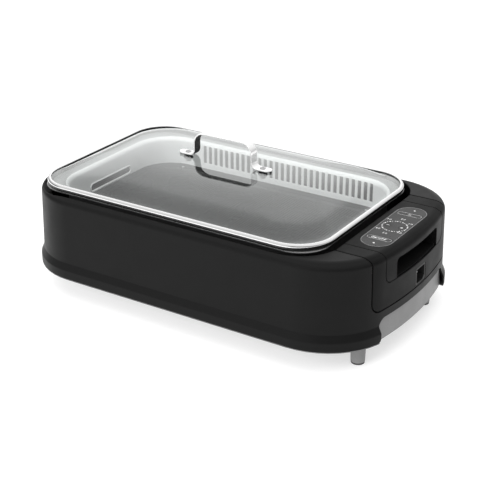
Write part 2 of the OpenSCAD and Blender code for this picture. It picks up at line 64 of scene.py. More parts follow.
# ------------------------------------------------- plane paths, in millimetres
class Path:
    """Lines and arcs end to end, by arc length. Its normal is on the right-hand side."""

    def __init__(self, segs):
        self.segs = segs
        self.len = [self._len(s) for s in segs]
        self.at0 = np.concatenate([[0], np.cumsum(self.len)])
        self.total = self.at0[-1]

    @staticmethod
    def _len(s):
        if s[0] == "line":
            return math.hypot(s[2][0] - s[1][0], s[2][1] - s[1][1])
        return s[2] * abs(s[4] - s[3])

    def at(self, u):
        u = np.atleast_1d(np.asarray(u, float))
        p, n = np.zeros((len(u), 2)), np.zeros((len(u), 2))
        k = np.clip(np.searchsorted(self.at0, u, side="right") - 1, 0, len(self.segs) - 1)
        for i, s in enumerate(self.segs):
            m = k == i
            if not m.any():
                continue
            t = u[m] - self.at0[i]
            if s[0] == "line":
                d = np.array([s[2][0] - s[1][0], s[2][1] - s[1][1]]) / max(self.len[i], 1e-12)
                p[m] = np.array(s[1]) + t[:, None] * d
                n[m] = (d[1], -d[0])
            else:
                _, c, r, a0, a1 = s
                sg = 1.0 if a1 > a0 else -1.0
                a = a0 + sg * t / r
                w = np.stack([np.cos(a), np.sin(a)], 1)
                p[m] = np.array(c) + r * w
                n[m] = sg * w
        return p, n

    def sample(self, step, arc_step=None, cuts=()):
        """Arc lengths along the path with every segment's ends in."""
        out = [0.0]
        for i, s in enumerate(self.segs):
            if self.len[i] < 1e-9:
                continue
            if s[0] == "line":
                n = max(1, math.ceil(self.len[i] / step))
            else:
                st = arc_step or step
                n = max(2, math.ceil(self.len[i] / min(st, max(0.25, s[2] * 0.26))))
            out += list(self.at0[i] + self.len[i] * np.arange(1, n + 1) / n)
        return np.array(sorted(set(np.round(out, 9)) | set(cuts)))


def fillet(points, radii, closed=False):
    """The polyline through points with its corners rounded."""
    pts = [np.array(p, float) for p in points]
    n = len(pts)
    ends, arcs = [], []
    for i in range(n):
        if not closed and i in (0, n - 1) or radii[i] <= 0:
            ends.append((pts[i], pts[i]))
            arcs.append(None)
            continue
        a, b, c = pts[i - 1], pts[i], pts[(i + 1) % n]
        d0, d1 = (b - a) / np.linalg.norm(b - a), (c - b) / np.linalg.norm(c - b)
        cr = d0[0] * d1[1] - d0[1] * d1[0]
        turn = math.atan2(cr, float(d0 @ d1))
        if abs(turn) < 1e-6:
            ends.append((b, b))
            arcs.append(None)
            continue
        t = radii[i] * math.tan(abs(turn) / 2)
        p0, p1 = b - d0 * t, b + d1 * t
        left = np.array([-d0[1], d0[0]]) * (1 if turn > 0 else -1)
        ctr = p0 + left * radii[i]
        a0 = math.atan2(*(p0 - ctr)[::-1])
        arcs.append(("arc", tuple(ctr), radii[i], a0, a0 + turn))
        ends.append((p0, p1))
    segs = []
    for i in range(n):
        if arcs[i]:
            segs.append(arcs[i])
        if i < n - 1 or closed:
            p, q = ends[i][1], ends[(i + 1) % n][0]
            if np.linalg.norm(q - p) > 1e-7:
                segs.append(("line", tuple(p), tuple(q)))
    return Path(segs)


def outline_rr(cx, cy, l, w, r):
    """Rounded rectangle, counter-clockwise from the middle of its back."""
    x, y = l / 2 - r, w / 2 - r
    q = PI / 2
    return Path([
        ("line", (cx, cy + w / 2), (cx - x, cy + w / 2)),
        ("arc", (cx - x, cy + y), r, q, 2 * q),
        ("line", (cx - l / 2, cy + y), (cx - l / 2, cy - y)),
        ("arc", (cx - x, cy - y), r, 2 * q, 3 * q),
        ("line", (cx - x, cy - w / 2), (cx + x, cy - w / 2)),
        ("arc", (cx + x, cy - y), r, 3 * q, 4 * q),
        ("line", (cx + l / 2, cy - y), (cx + l / 2, cy + y)),
        ("arc", (cx + x, cy + y), r, 4 * q, 5 * q),
        ("line", (cx + x, cy + w / 2), (cx, cy + w / 2))])


# the housing's outline: straight sides, round corners and bulged ends
BR, BULGE, HX, HY = 92.0, 5.7, 173.0, 67.0
RHO = (HY * HY + BULGE * BULGE) / (2 * BULGE)
A0 = math.asin(HY / RHO)
CX = HX - BULGE
body = Path([
    ("line", (0, 159), (-CX, 159)),
    ("arc", (-CX, HY), BR, PI / 2, PI - A0),
    ("arc", (RHO - HX, 0), RHO + BR, PI - A0, PI + A0),
    ("arc", (-CX, -HY), BR, PI + A0, 1.5 * PI),
    ("line", (-CX, -159), (CX, -159)),
    ("arc", (CX, -HY), BR, 1.5 * PI, 2 * PI - A0),
    ("arc", (HX - RHO, 0), RHO + BR, 2 * PI - A0, 2 * PI + A0),
    ("arc", (CX, HY), BR, 2 * PI + A0, 2.5 * PI),
    ("line", (CX, 159), (0, 159))])
U_R = body.at0[6] + body.len[6] / 2  # middle of the control end
U_L = body.at0[2] + body.len[2] / 2


def u_of_y(side, y, d):
    """Arc length on the outline where an end's surface, offset by d, is at y."""
    y, d = np.broadcast_arrays(np.asarray(y, float), np.asarray(d, float))
    ay = np.abs(y)
    end = np.arcsin(np.clip(ay / (RHO + BR + d), -1, 1))
    cor = np.arcsin(np.clip((ay - HY) / (BR + d), -1, 1))
    a = np.where(end <= A0, (RHO + BR) * end, (RHO + BR) * A0 + BR * (cor - A0))
    s = np.sign(y) * a
    return U_R + s if side > 0 else U_L - s


def body_inverse(x, y):
    """(arc length, offset) of points in plan near the control end."""
    x, y = np.broadcast_arrays(np.asarray(x, float), np.asarray(y, float))
    ay = np.abs(y)
    ang = np.arctan2(ay - HY, x - CX)
    cor = ang > A0
    d_c = np.hypot(x - CX, ay - HY) - BR
    cx = HX - RHO
    d_e = np.hypot(x - cx, ay) - (RHO + BR)
    a_e = np.arctan2(ay, x - cx)
    cor = cor & (a_e > A0)
    d = np.where(cor, d_c, d_e)
    a = np.where(cor, (RHO + BR) * A0 + BR * (ang - A0), (RHO + BR) * a_e)
    return U_R + np.sign(y) * a, d


# the housing's profile: (offset, height), from the skirt's edge up and over the deck
Z0, ZW, ZD = 33.8, 139.3, 144.3
prof = fillet(
    [(0, Z0), (0, 45.6), (-4.1, 54.6), (-6.0, ZW), (-15.5, ZD), (-112, ZD)],
    [0, 3.2, 3.0, 7.5, 15.0, 0])


def v_of_z(z):
    """Profile arc length at a height below the deck."""
    vs = np.linspace(0, prof.total - 80, 4000)
    zs = prof.at(vs)[0][:, 1]
    k = int(np.argmax(zs >= ZD - 1e-6))
    return np.interp(z, zs[: k + 1], vs[: k + 1])


D_DECK = float(prof.at([prof.at0[-2]])[0][0, 0])  # where the deck gets flat
V_DECK = float(prof.at0[-2])


def v_of_d(d):
    return V_DECK + (D_DECK - np.asarray(d, float))


def shell_map(off=0.0):
    """(u, v) on the housing's skin to place and normal."""

    def f(u, v):
        o, n = body.at(u)
        q, m = prof.at(v)
        d = q[:, 0] + off * m[:, 0]
        z = q[:, 1] + off * m[:, 1]
        p = np.column_stack([o + n * d[:, None], z])
        w = np.column_stack([n * m[:, :1], m[:, 1]])
        return p, w / np.linalg.norm(w, axis=1)[:, None]

    return f


def flat_map(z, up=1.0):
    def f(u, v):
        n = len(u)
        return np.column_stack([u, v, np.full(n, z)]), np.tile([0, 0, up], (n, 1))

    return f


# ------------------------------------------------------------- mesh builder
def close_gaps(faces, norms, mi, most=14):
    """Fills the hairline gaps that triangulation leaves where points lie on one line."""
    used = {}
    for k, f in enumerate(faces):
        for i in range(len(f)):
            used.setdefault((f[i], f[(i + 1) % len(f)]), (k, i))
    nxt = {}
    for (a, b), (k, i) in used.items():
        if (b, a) not in used:
            nxt.setdefault(b, []).append((a, norms[k][(i + 1) % len(faces[k])], mi[k]))
    for start in list(nxt):
        while nxt.get(start):
            loop, nn, cur = [], [], start
            while nxt.get(cur) and len(loop) <= most:
                a, n, m = nxt[cur].pop()
                loop.append(cur)
                nn.append(n)
                cur = a
                if cur == start:
                    break
            if cur == start and 3 <= len(loop) <= most and len(set(loop)) == len(loop):
                faces.append(loop)
                norms.append(nn)
                mi.append(m)
            elif cur != start:
                break


class Build:
    """Gathers points, faces and a normal for every face corner; welds by place."""

    def __init__(self):
        self.v, self.f, self.n = [], [], []
        self.count = 0
        self.mat = []

    def add(self, pts, faces, normals, mat=0):
        """faces index pts; normals holds one per face corner, or one per point."""
        pts = np.asarray(pts, float)
        per_point = isinstance(normals, np.ndarray)
        for i, f in enumerate(faces):
            self.f.append([self.count + int(k) for k in f])
            self.n.append([normals[int(k)] for k in f] if per_point else normals[i])
            self.mat.append(mat)
        self.v.append(pts)
        self.count += len(pts)

    def grid(self, rows, norms, closed_u=False, closed_v=False, flip=False, mat=0):
        """rows: K x M x 3 points, each row one ring."""
        rows, norms = np.asarray(rows, float), np.asarray(norms, float)
        K, M = rows.shape[:2]
        faces = []
        for k in range(K if closed_v else K - 1):
            k2 = (k + 1) % K
            for i in range(M if closed_u else M - 1):
                j = (i + 1) % M
                f = [k * M + i, k * M + j, k2 * M + j, k2 * M + i]
                faces.append(f[::-1] if flip else f)
        self.add(rows.reshape(-1, 3), faces, norms.reshape(-1, 3), mat)

    def cap(self, ring, normal, mat=0):
        """A flat face closing a ring, facing normal."""
        ring = np.asarray(ring, float)
        m = np.cross(ring - ring.mean(0), np.roll(ring, -1, 0) - ring.mean(0)).sum(0)
        idx = list(range(len(ring)))
        if m @ np.asarray(normal, float) < 0:
            idx = idx[::-1]
        self.add(ring, [idx], np.tile(np.asarray(normal, float), (len(ring), 1)), mat)

    def make(self, name, mats, weld=1e-4):
        v = np.concatenate(self.v)
        key = np.round(v / (weld * 10)).astype(np.int64)
        _, first, inv = np.unique(key, axis=0, return_index=True, return_inverse=True)
        inv = inv.ravel()
        faces, norms, mi, seen = [], [], [], set()
        for f, n, m in zip(self.f, self.n, self.mat):
            g = [int(inv[k]) for k in f]
            keep = [i for i in range(len(g)) if g[i] != g[i - 1]]
            if len(keep) < 3 or len(set(g[i] for i in keep)) < 3:
                continue
            h = tuple(g[i] for i in keep)
            if len(set(h)) != len(h):
                continue
            s = tuple(sorted(h))
            if s in seen:
                continue
            seen.add(s)
            h, hn = list(h), [np.asarray(n[i], float) for i in keep]
            q = v[first[h]]
            if np.cross(q - q[0], np.roll(q, -1, 0) - q[0]).sum(0) @ sum(hn) < 0:
                h, hn = h[::-1], hn[::-1]
            faces.append(h)
            norms.append(hn)
            mi.append(m)
        close_gaps(faces, norms, mi)
        norms = [n for hn in norms for n in hn]
        me = bpy.data.meshes.new(name)
        me.from_pydata((v[first] * MM).tolist(), [], faces)
        me.polygons.foreach_set("use_smooth", [True] * len(faces))
        for m in mats if isinstance(mats, (list, tuple)) else [mats]:
            me.materials.append(m)
        me.polygons.foreach_set("material_index", mi)
        me.update()
        nn = np.array(norms, float)
        nn /= np.maximum(np.linalg.norm(nn, axis=1), 1e-9)[:, None]
        me.normals_split_custom_set(nn.tolist())
        ob = bpy.data.objects.new(name, me)
        bpy.context.scene.collection.objects.link(ob)
        return ob


def inside(pts, loops):
    """Even-odd test of points against closed loops."""
    res = np.zeros(len(pts), bool)
    x, y = pts[:, 0], pts[:, 1]
    for L in loops:
        a, b = L, np.roll(L, -1, 0)
        for lo in range(0, len(a), 64):
            p, q = a[lo:lo + 64], b[lo:lo + 64]
            c = (p[:, 1][None] > y[:, None]) != (q[:, 1][None] > y[:, None])
            with np.errstate(divide="ignore", invalid="ignore"):
                xx = (q[:, 0] - p[:, 0])[None] * (y[:, None] - p[:, 1][None]) / (q[:, 1] - p[:, 1])[None] + p[:, 0][None]
            res ^= (np.sum(c & (x[:, None] < xx), 1) % 2).astype(bool)
    return res


def near(pts, loops, tol):
    """True where a point is closer than tol to an edge of the loops."""
    bad = np.zeros(len(pts), bool)
    for L in loops:
        a, b = L, np.roll(L, -1, 0)
        for lo in range(0, len(a), 64):
            p, q = a[lo:lo + 64], b[lo:lo + 64]
            d = q - p
            w = pts[:, None] - p[None]
            t = np.clip((w * d[None]).sum(2) / np.maximum((d * d).sum(1), 1e-12)[None], 0, 1)
            r = w - t[..., None] * d[None]
            bad |= ((r * r).sum(2) < tol * tol).any(1)
    return bad


def fill(loops, us=(), vs=(), tol=0.7):
    """Triangles of the region within the loops, with grid points us x vs. Returns points, triangles."""
    pts = np.concatenate(loops)
    edges, k = [], 0
    for L in loops:
        n = len(L)
        edges += [(k + i, k + (i + 1) % n) for i in range(n)]
        k += n
    if len(us) and len(vs):
        g = np.stack(np.meshgrid(us, vs), -1).reshape(-1, 2)
        lo, hi = pts.min(0), pts.max(0)
        g = g[(g > lo).all(1) & (g < hi).all(1)]
        g = g[inside(g, loops)]
        g = g[~near(g, loops, tol)]
        allp = np.concatenate([pts, g])
    else:
        allp = pts
    out = delaunay_2d_cdt([Vector(p) for p in allp.tolist()], edges, [], 0, 1e-6, False)
    co = np.array([tuple(c) for c in out[0]], float)
    tri = np.array([f for f in out[2] if len(f) == 3], int)
    cen = co[tri].mean(1)
    tri = tri[inside(cen, loops)]
    a, b, c = co[tri[:, 0]], co[tri[:, 1]], co[tri[:, 2]]
    area = (b[:, 0] - a[:, 0]) * (c[:, 1] - a[:, 1]) - (b[:, 1] - a[:, 1]) * (c[:, 0] - a[:, 0])
    tri[area < 0] = tri[area < 0][:, ::-1]
    return co, tri


def edge_section(r, T, m=4):
    """Rounded edge of a wall T thick: (sideways, outwards, normal sideways, normal outwards)."""
    s = [(r * math.sin(t), -r * (1 - math.cos(t)), math.sin(t), math.cos(t)) for t in np.linspace(0, PI / 2, m + 1)]
    s += [(r * math.cos(t), -(T - r) - r * math.sin(t), math.cos(t), -math.sin(t)) for t in np.linspace(0, PI / 2, m + 1)]
    s.append((0, -T, 0, -1))
    return np.array(s)


def lip_section(r, T, D, m=4):
    """Rounded edge with a lip r thick hanging D deep. Same count as edge_section."""
    s = [(r * math.sin(t), -r * (1 - math.cos(t)), math.sin(t), math.cos(t)) for t in np.linspace(0, PI / 2, m + 1)]
    h = r / 2
    s += [(h + h * math.cos(t), -(D - h) - h * math.sin(t), math.cos(t), -math.sin(t)) for t in np.linspace(0, PI, m + 1)]
    s.append((0, -T, -1, 0))
    return np.array(s)


def rim(bd, P, N, sec, closed=True):
    """Adds the strip that turns a patch's boundary P (interior on its left) into its edge."""
    P, N = np.asarray(P, float), np.asarray(N, float)
    if closed:
        T = np.roll(P, -1, 0) - np.roll(P, 1, 0)
    else:
        T = np.zeros_like(P)
        T[1:-1] = P[2:] - P[:-2]
        T[0], T[-1] = P[1] - P[0], P[-1] - P[-2]
    T /= np.maximum(np.linalg.norm(T, axis=1), 1e-12)[:, None]
    B = np.cross(T, N)
    B /= np.maximum(np.linalg.norm(B, axis=1), 1e-12)[:, None]
    sec = np.asarray(sec, float)
    if sec.ndim == 2:
        sec = np.tile(sec, (len(P), 1, 1))
    rows, norms = [], []
    for k in range(sec.shape[1]):
        s = sec[:, k]
        rows.append(P + s[:, :1] * B + s[:, 1:2] * N)
        norms.append(s[:, 2:3] * B + s[:, 3:4] * N)
    bd.grid(rows, norms, closed_u=closed, flip=True)
    return rows[-1]


def patch(bd, fmap, loops, rims, us=(), vs=(), T=2.6, tol=0.7, back=True):
    """A wall of thickness T over the region in the loops. rims: (loop index, first, last, section) strips."""
    co, tri = fill(loops, us, vs, tol)
    P, N = fmap(co[:, 0], co[:, 1])
    bd.add(P, tri.tolist(), N)
    if back:
        bd.add(P - T * N, tri[:, ::-1].tolist(), -N)
    for li, a, b, sec in rims:
        L = loops[li]
        if a is None:
            q = L
        else:
            q = L[a:b]
        p, n = fmap(q[:, 0], q[:, 1])
        rim(bd, p, n, sec, closed=a is None)


def sweep(bd, outline, us, section, closed=True, mat=0, dz=0.0):
    """Closed section (offset, height) run round an outline."""
    o, n = outline.at(us)
    ss = section.sample(1.2, 0.5)[:-1] if closed else section.sample(1.2, 0.5)
    q, m = section.at(ss)
    rows = [np.column_stack([o + n * a[0], np.full(len(o), a[1] + dz)]) for a in q]
    norms = [np.column_stack([n * b[0], np.full(len(o), b[1])]) for b in m]
    bd.grid(rows, norms, closed_u=True, closed_v=closed, mat=mat)


def lathe(bd, cx, cy, section, step=0.6, n=48, axis="z", cz=0.0, mat=0):
    """Turned piece: section in (radius, height), on the right-hand side outwards."""
    ss = section.sample(step, 0.35)
    q, m = section.at(ss)
    a = np.linspace(0, 2 * PI, n, endpoint=False)
    rows, norms = [], []
    for (r, h), (nr, nh) in zip(q, m):
        p = np.column_stack([r * np.cos(a), r * np.sin(a), np.full(n, h)])
        w = np.column_stack([nr * np.cos(a), nr * np.sin(a), np.full(n, nh)])
        if axis == "x":
            p, w = p[:, [2, 0, 1]], w[:, [2, 0, 1]]
        rows.append(p + np.array([cx, cy, cz]))
        norms.append(w)
    bd.grid(rows, norms, closed_u=True, mat=mat)


def slide_outline(cx, cy, l, w, r):
    """Rounded rectangle, counter-clockwise from the middle of its front."""
    x, y = l / 2 - r, w / 2 - r
    q = PI / 2
    return Path([
        ("line", (cx, cy - w / 2), (cx + x, cy - w / 2)),
        ("arc", (cx + x, cy - y), r, 3 * q, 4 * q),
        ("line", (cx + l / 2, cy - y), (cx + l / 2, cy + y)),
        ("arc", (cx + x, cy + y), r, 4 * q, 5 * q),
        ("line", (cx + x, cy + w / 2), (cx - x, cy + w / 2)),
        ("arc", (cx - x, cy + y), r, q, 2 * q),
        ("line", (cx - l / 2, cy + y), (cx - l / 2, cy - y)),
        ("arc", (cx - x, cy - y), r, 2 * q, 3 * q),
        ("line", (cx - x, cy - w / 2), (cx, cy - w / 2))])


def lofted(outline, profile):
    def f(u, v):
        o, n = outline.at(u)
        q, m = profile.at(v)
        p = np.column_stack([o + n * q[:, :1], q[:, 1]])
        w = np.column_stack([n * m[:, :1], m[:, 1]])
        return p, w

    return f


def inv(x, y):
    """(arc length, offset) on the housing's outline of points in plan."""
    x, y = np.broadcast_arrays(np.asarray(x, float), np.asarray(y, float))
    ax, ay = np.abs(x), np.abs(y)
    side = ax < CX
    ang = np.arctan2(ay - HY, ax - CX)
    a_e = np.arctan2(ay, ax - (HX - RHO))
    cor = (~side) & (ang > A0) & (a_e > A0)
    d = np.where(side, ay - 159, np.where(cor, np.hypot(ax - CX, ay - HY) - BR, np.hypot(ax - (HX - RHO), ay) - (RHO + BR)))
    s = np.where(side, ax, np.where(cor, CX + BR * (PI / 2 - ang), CX + BR * (PI / 2 - A0) + (RHO + BR) * (A0 - a_e)))
    half = body.total / 2
    u = np.where(x < 0, np.where(y >= 0, s, 2 * half - half - s), np.where(y < 0, half + s, 2 * half - s))
    return u, d


def end_path(points, radii, side=1, step=1.6, closed=False):
    """A rounded path drawn in (y, profile length) on an end, as (u, v)."""
    p = fillet(points, radii, closed)
    s = p.sample(step, 1.1)
    if closed:
        s = s[:-1]
    q = p.at(s)[0]
    d = prof.at(q[:, 1])[0][:, 0]
    return np.column_stack([u_of_y(side, side * q[:, 0], d), q[:, 1]])


def deck_line(x, y0, y1, step=3.0):
    """Points at a fixed x on the deck as (u, v), ends in."""
    n = max(2, math.ceil(abs(y1 - y0) / step))
    y = np.linspace(y0, y1, n + 1)
    u, d = inv(np.full(n + 1, x), y)
    return np.column_stack([u, v_of_d(d)])


def join(*parts):
    """Runs of points end to end without doubled points."""
    out = []
    for p in parts:
        for q in np.asarray(p, float):
            if not out or np.hypot(*(q - out[-1])) > 1e-4:
                out.append(q)
    if np.hypot(*(np.array(out[0]) - out[-1])) < 1e-4:
        out.pop()
    return np.array(out)


us_body = body.sample(6.0, 2.6)
vs_body = prof.sample(9.0, 0.9)


# ------------------------------------------------------------ base housing
def build_housing(mat):
    bd = Build()
    vb = 0.7
    arch = [(-100, vb), (-89.7, vb), (-89.7, v_of_z(63.2)), (89.7, v_of_z(63.2)), (89.7, vb), (100, vb)]
    rad = [0, 4.3, 12.7, 12.7, 4.3, 0]
    left = end_path(arch, rad, -1)
    right = end_path(arch, rad, 1)
    lo = [u for u in us_body if u < left[0, 0] - 1]
    mid = [u for u in us_body if left[-1, 0] + 1 < u < right[0, 0] - 1]
    hi = [u for u in us_body if u > right[-1, 0] + 1]
    flat = lambda s: np.column_stack([s, np.full(len(s), vb)])
    bottom = join(flat(lo), left, flat(mid), right, flat(hi))
    # deck opening, clockwise from the back's middle
    op = outline_rr(-23.25, 0, 439.5 + 3.2, 286.8 + 3.2, 55.6)
    su = op.sample(5.0, 1.5, cuts=(op.total - 23.25,))
    q = op.at(su)[0][:-1]
    k = int(np.argmin(np.hypot(q[:, 0], q[:, 1] - 145)))
    q = np.roll(q, -k, 0)[::-1]
    q = np.vstack([q[-1:], q[:-1]])
    u, d = inv(q[:, 0], q[:, 1])
    u = np.where(u < 1e-6, body.total, u)
    top = np.column_stack([u, v_of_d(d)])
    ye = 102.2
    xe = 142.5 + math.sqrt(55.6 ** 2 - (ye - 89.4) ** 2)
    ue, de = inv(xe, ye)
    ve = float(v_of_d(de))
    vbay = v_of_z(72.1)
    bay = end_path([(-ye, ve), (-ye, vbay), (ye, vbay), (ye, ve)], [0, 13.7, 13.7, 0], 1, 1.6)[::-1]
    first = [c[0] > 0 and c[1] > ye + 0.8 for c in q]
    in_bay = [c[0] > 150 and abs(c[1]) <= ye + 0.8 for c in q]
    before = [top[i] for i in range(1, len(q)) if first[i]]
    after = [top[i] for i in range(1, len(q)) if not first[i] and not in_bay[i]]
    top_all = np.vstack([[[body.total, top[0, 1]]], join(before, bay, after), [[0.0, top[0, 1]]]])
    vseam = [v for v in vs_body if vb + 0.3 < v < top[0, 1] - 0.3]
    seam_up = np.column_stack([np.full(len(vseam), body.total), vseam])
    seam_dn = np.column_stack([np.zeros(len(vseam)), vseam[::-1]])
    outer = np.vstack([bottom, seam_up, top_all, seam_dn])
    nb, nt = len(bottom), len(top_all)
    fmap = shell_map()
    co, tri = fill([outer], us_body, vs_body, 0.75)
    P, N = fmap(co[:, 0], co[:, 1])
    bd.add(P, tri.tolist(), N)
    bd.add(P - 2.6 * N, tri[:, ::-1].tolist(), -N)
    p, n = fmap(bottom[:, 0], bottom[:, 1])
    rim(bd, p, n, edge_section(0.7, 2.6), closed=False)
    i0 = nb + len(seam_up)
    t = outer[i0:i0 + nt]
    p, n = fmap(t[:, 0], t[:, 1])
    lip, edge = lip_section(1.6, 2.6, 13.0), edge_section(0.7, 2.6)
    in_bay = (p[:, 0] > 150) & (np.abs(p[:, 1]) <= ye + 0.05)
    sec = np.where(in_bay[:, None, None], edge[None], lip[None])
    rim(bd, p, n, sec, closed=False)
    return bd.make("housing_shell", mat)


# ---------------------------------------------------------- control module
def build_module(mat):
    fmap = shell_map()
    r = 0.9
    xd = 196.5 + 1.2
    vbot = v_of_z(73.9 + r)
    yo, yi = 100.4 - r, 78.3 + r
    vn = v_of_z(105.0 - r)
    us = [u for u in us_body if abs(u - U_R) < 150]
    lip, edge = lip_section(1.2, 2.4, 6.0), edge_section(r, 2.4)

    def v_deck(y):
        return float(v_of_d(inv(xd, y)[1]))

    bd = Build()
    a = end_path([(-yo, v_deck(yo)), (-yo, vbot), (yo, vbot), (yo, v_deck(yo))], [0, 12.2 - r, 12.2 - r, 0])
    b = deck_line(xd, yo, yi)
    c = end_path([(yi, v_deck(yi)), (yi, vn), (-yi, vn), (-yi, v_deck(yi))], [0, 10.3, 10.3, 0])
    d = deck_line(xd, -yi, -yo)
    outer = join(a, b, c, d)
    inlet = outline_rr(6, 0, 27.2, 23.2, 3)
    s = inlet.sample(1.2, 0.5)[:-1]
    q = inlet.at(s)[0] + inlet.at(s)[1] * 0.7
    vi = v_of_z(86.3 + q[:, 1])
    di = prof.at(vi)[0][:, 0]
    hole = np.column_stack([u_of_y(1, q[:, 0], di), vi])[::-1]
    p3 = fmap(outer[:, 0], outer[:, 1])[0]
    on_deck = (p3[:, 0] < xd + 0.05)
    sec = np.where(on_deck[:, None, None], lip[None], edge[None])
    patch(bd, fmap, [outer, hole], [(1, None, None, edge_section(0.7, 2.4))], us, vs_body, 2.4)
    P, N = fmap(outer[:, 0], outer[:, 1])
    rim(bd, P, N, sec)
    shell = bd.make("module_shell", mat)

    bd = Build()
    yo, ys = 78.0 - r, 55.2 + r
    vl, vt = v_of_z(105.3 + r), v_of_z(130.2 + r)
    a = end_path([(-yo, v_deck(yo)), (-yo, vl), (-ys, vl), (-ys, vt), (ys, vt), (ys, vl), (yo, vl), (yo, v_deck(yo))],
                 [0, 9.1, 1.3, 6.0, 6.0, 1.3, 9.1, 0], 1, 1.6)
    b = deck_line(xd, yo, -yo)
    outer = join(a, b)
    st = outline_rr(224.7, -1.5, 40.3 + 0.5, 133.3 + 0.5, 20.35)
    s = st.sample(2.0, 1.2)[:-1]
    q = st.at(s)[0][::-1]
    u, d = inv(q[:, 0], q[:, 1])
    hole = np.column_stack([u, v_of_d(d)])
    p3 = fmap(outer[:, 0], outer[:, 1])[0]
    on_deck = (p3[:, 0] < xd + 0.05)
    sec = np.where(on_deck[:, None, None], lip[None], edge[None])
    patch(bd, fmap, [outer, hole], [(1, None, None, edge_section(0.25, 2.4))], us, vs_body, 2.4)
    P, N = fmap(outer[:, 0], outer[:, 1])
    rim(bd, P, N, sec)
    cap = bd.make("module_cap", mat)
    return shell, cap


def build_pocket(mat):
    """Dark scoop behind the finger slot."""
    bd = Build()
    sec = fillet([(-54.6, 106.1), (54.6, 106.1), (54.6, 129.6), (-54.6, 129.6)], [4] * 4, True)
    s = sec.sample(3.0, 0.8)[:-1]
    q, m = sec.at(s)
    rows, norms = [], []
    xs = [256.4, 250, 242, 234.5, 231.5, 230.2, 229.8]
    cut = [0, 0, 0, 0, 0.8, 2.2, 4.0]
    for x, k in zip(xs, cut):
        w = q - m * k
        # the mouth follows the end's bulge
        xx = np.full(len(w), x)
        if x > 250:
            v = v_of_z(w[:, 1])
            d = prof.at(v)[0][:, 0] - 2.45
            uu = u_of_y(1, w[:, 0], d)
            o, n = body.at(uu)
            xx = (o + n * d[:, None])[:, 0]
        rows.append(np.column_stack([xx, w]))
        f = min(1.0, k / 4.0)
        nn = np.column_stack([np.full(len(w), f), -m * (1 - f)])
        norms.append(nn)
    bd.grid(rows, norms, closed_u=True, flip=True)
    bd.cap(rows[-1], (1, 0, 0))
    # outside of the scoop
    rows2 = [np.column_stack([r[:, 0] - 0.02, (q + m * 1.5)]) for r in rows[:1]]
    rows2.append(np.column_stack([np.full(len(q), 228.2), q + m * 1.5]))
    n2 = [np.column_stack([np.zeros(len(q)), m])] * 2
    bd.grid([rows[0], rows2[0]], [np.column_stack([np.ones(len(q)), m * 0])] * 2, closed_u=True)
    bd.grid(rows2, n2, closed_u=True)
    bd.cap(rows2[-1], (-1, 0, 0))
    return bd.make("finger_scoop", mat)


def build_inlet(mat, mat_in):
    fmap = shell_map(-0.35)
    bd = Build()
    out = outline_rr(6, 0, 27.0, 23.0, 2.9)
    s = out.sample(1.2, 0.5)[:-1]
    q, m = out.at(s)
    q = q - m * 0.4

    def uv(w):
        v = v_of_z(86.3 + w[:, 1])
        d = prof.at(v)[0][:, 0]
        return np.column_stack([u_of_y(1, w[:, 0], d), v])

    hole = fillet([(6 - 11, -8.0), (6 - 9.8, -9.2), (6 + 6.2, -9.2), (6 + 11, -4.4), (6 + 11, 9.2), (6 - 11, 9.2)],
                  [0.5, 0.5, 1.2, 1.2, 1.2, 1.2], True)
    hs = hole.sample(1.2, 0.4)[:-1]
    hq, hm = hole.at(hs)
    ho = hq + hm * 0.5
    patch(bd, fmap, [uv(q), uv(ho)[::-1]], [(0, None, None, edge_section(0.4, 8.0))], T=8.0, back=False)
    # socket: lip, straight walls along X and a floor
    P, N = fmap(*uv(ho)[::-1].T)
    T = np.roll(P, -1, 0) - np.roll(P, 1, 0)
    T /= np.linalg.norm(T, axis=1)[:, None]
    B = np.cross(T, N)
    rows, norms = [], []
    for t in np.linspace(0, PI / 2, 5):
        rows.append(P + 0.5 * (math.sin(t) * B - (1 - math.cos(t)) * N))
        norms.append(math.sin(t) * B + math.cos(t) * N)
    e = rows[-1].copy()
    e[:, 0] = 243.2
    rows += [e]
    norms += [B * [0, 1, 1]]
    bd.grid(rows, norms, closed_u=True, flip=True)
    bd.cap(e, (1, 0, 0), 1)
    # back of the block
    o3 = fmap(*uv(q).T)
    Pb, Nb = o3
    Tb = np.roll(Pb, -1, 0) - np.roll(Pb, 1, 0)
    Tb /= np.linalg.norm(Tb, axis=1)[:, None]
    Bb = np.cross(Tb, Nb)
    e0 = Pb + 0.4 * Bb - 7.6 * Nb
    sect = edge_section(0.4, 8.0)
    last = Pb + sect[-1, 0] * Bb + sect[-1, 1] * Nb
    e1 = last.copy()
    e1[:, 0] = 236.2
    bd.grid([last, e1], [Bb * [0, 1, 1]] * 2, closed_u=True, flip=True)
    bd.cap(e1, (-1, 0, 0))
    return bd.make("inlet_socket", [mat, mat_in])


def build_pins(mat):
    bd = Build()
    # a turned section runs up its outside, then in to the axis
    sec = fillet([(1.5, 240), (1.5, 252), (0, 252)], [0, 0.9, 0])
    for y, z in ((6.0, 3.0), (-0.5, -2.5), (12.5, -2.5)):
        lathe(bd, 0, 0, sec, 0.6, 20, "x")
    # place the three copies
    n = len(bd.v)
    for i, (y, z) in enumerate(((0, 3.0), (-6.5, -2.5), (6.5, -2.5))):
        bd.v[i] = bd.v[i] + np.array([0, 6 + y, 86.3 + z])
    for i, (y, z) in enumerate(((0, 3.0), (-6.5, -2.5), (6.5, -2.5))):
        a = np.linspace(0, 2 * PI, 20, endpoint=False)
        ring = np.column_stack([np.full(20, 240.0), 6 + y + 1.5 * np.cos(a), 86.3 + z + 1.5 * np.sin(a)])
        bd.cap(ring, (-1, 0, 0))
    return bd.make("inlet_contact_pins", mat)


# ------------------------------------------------------------- small helpers
def loop_of(path, step=1.2, arc=0.5, grow=0.0):
    s = path.sample(step, arc)[:-1]
    q, m = path.at(s)
    return q + m * grow


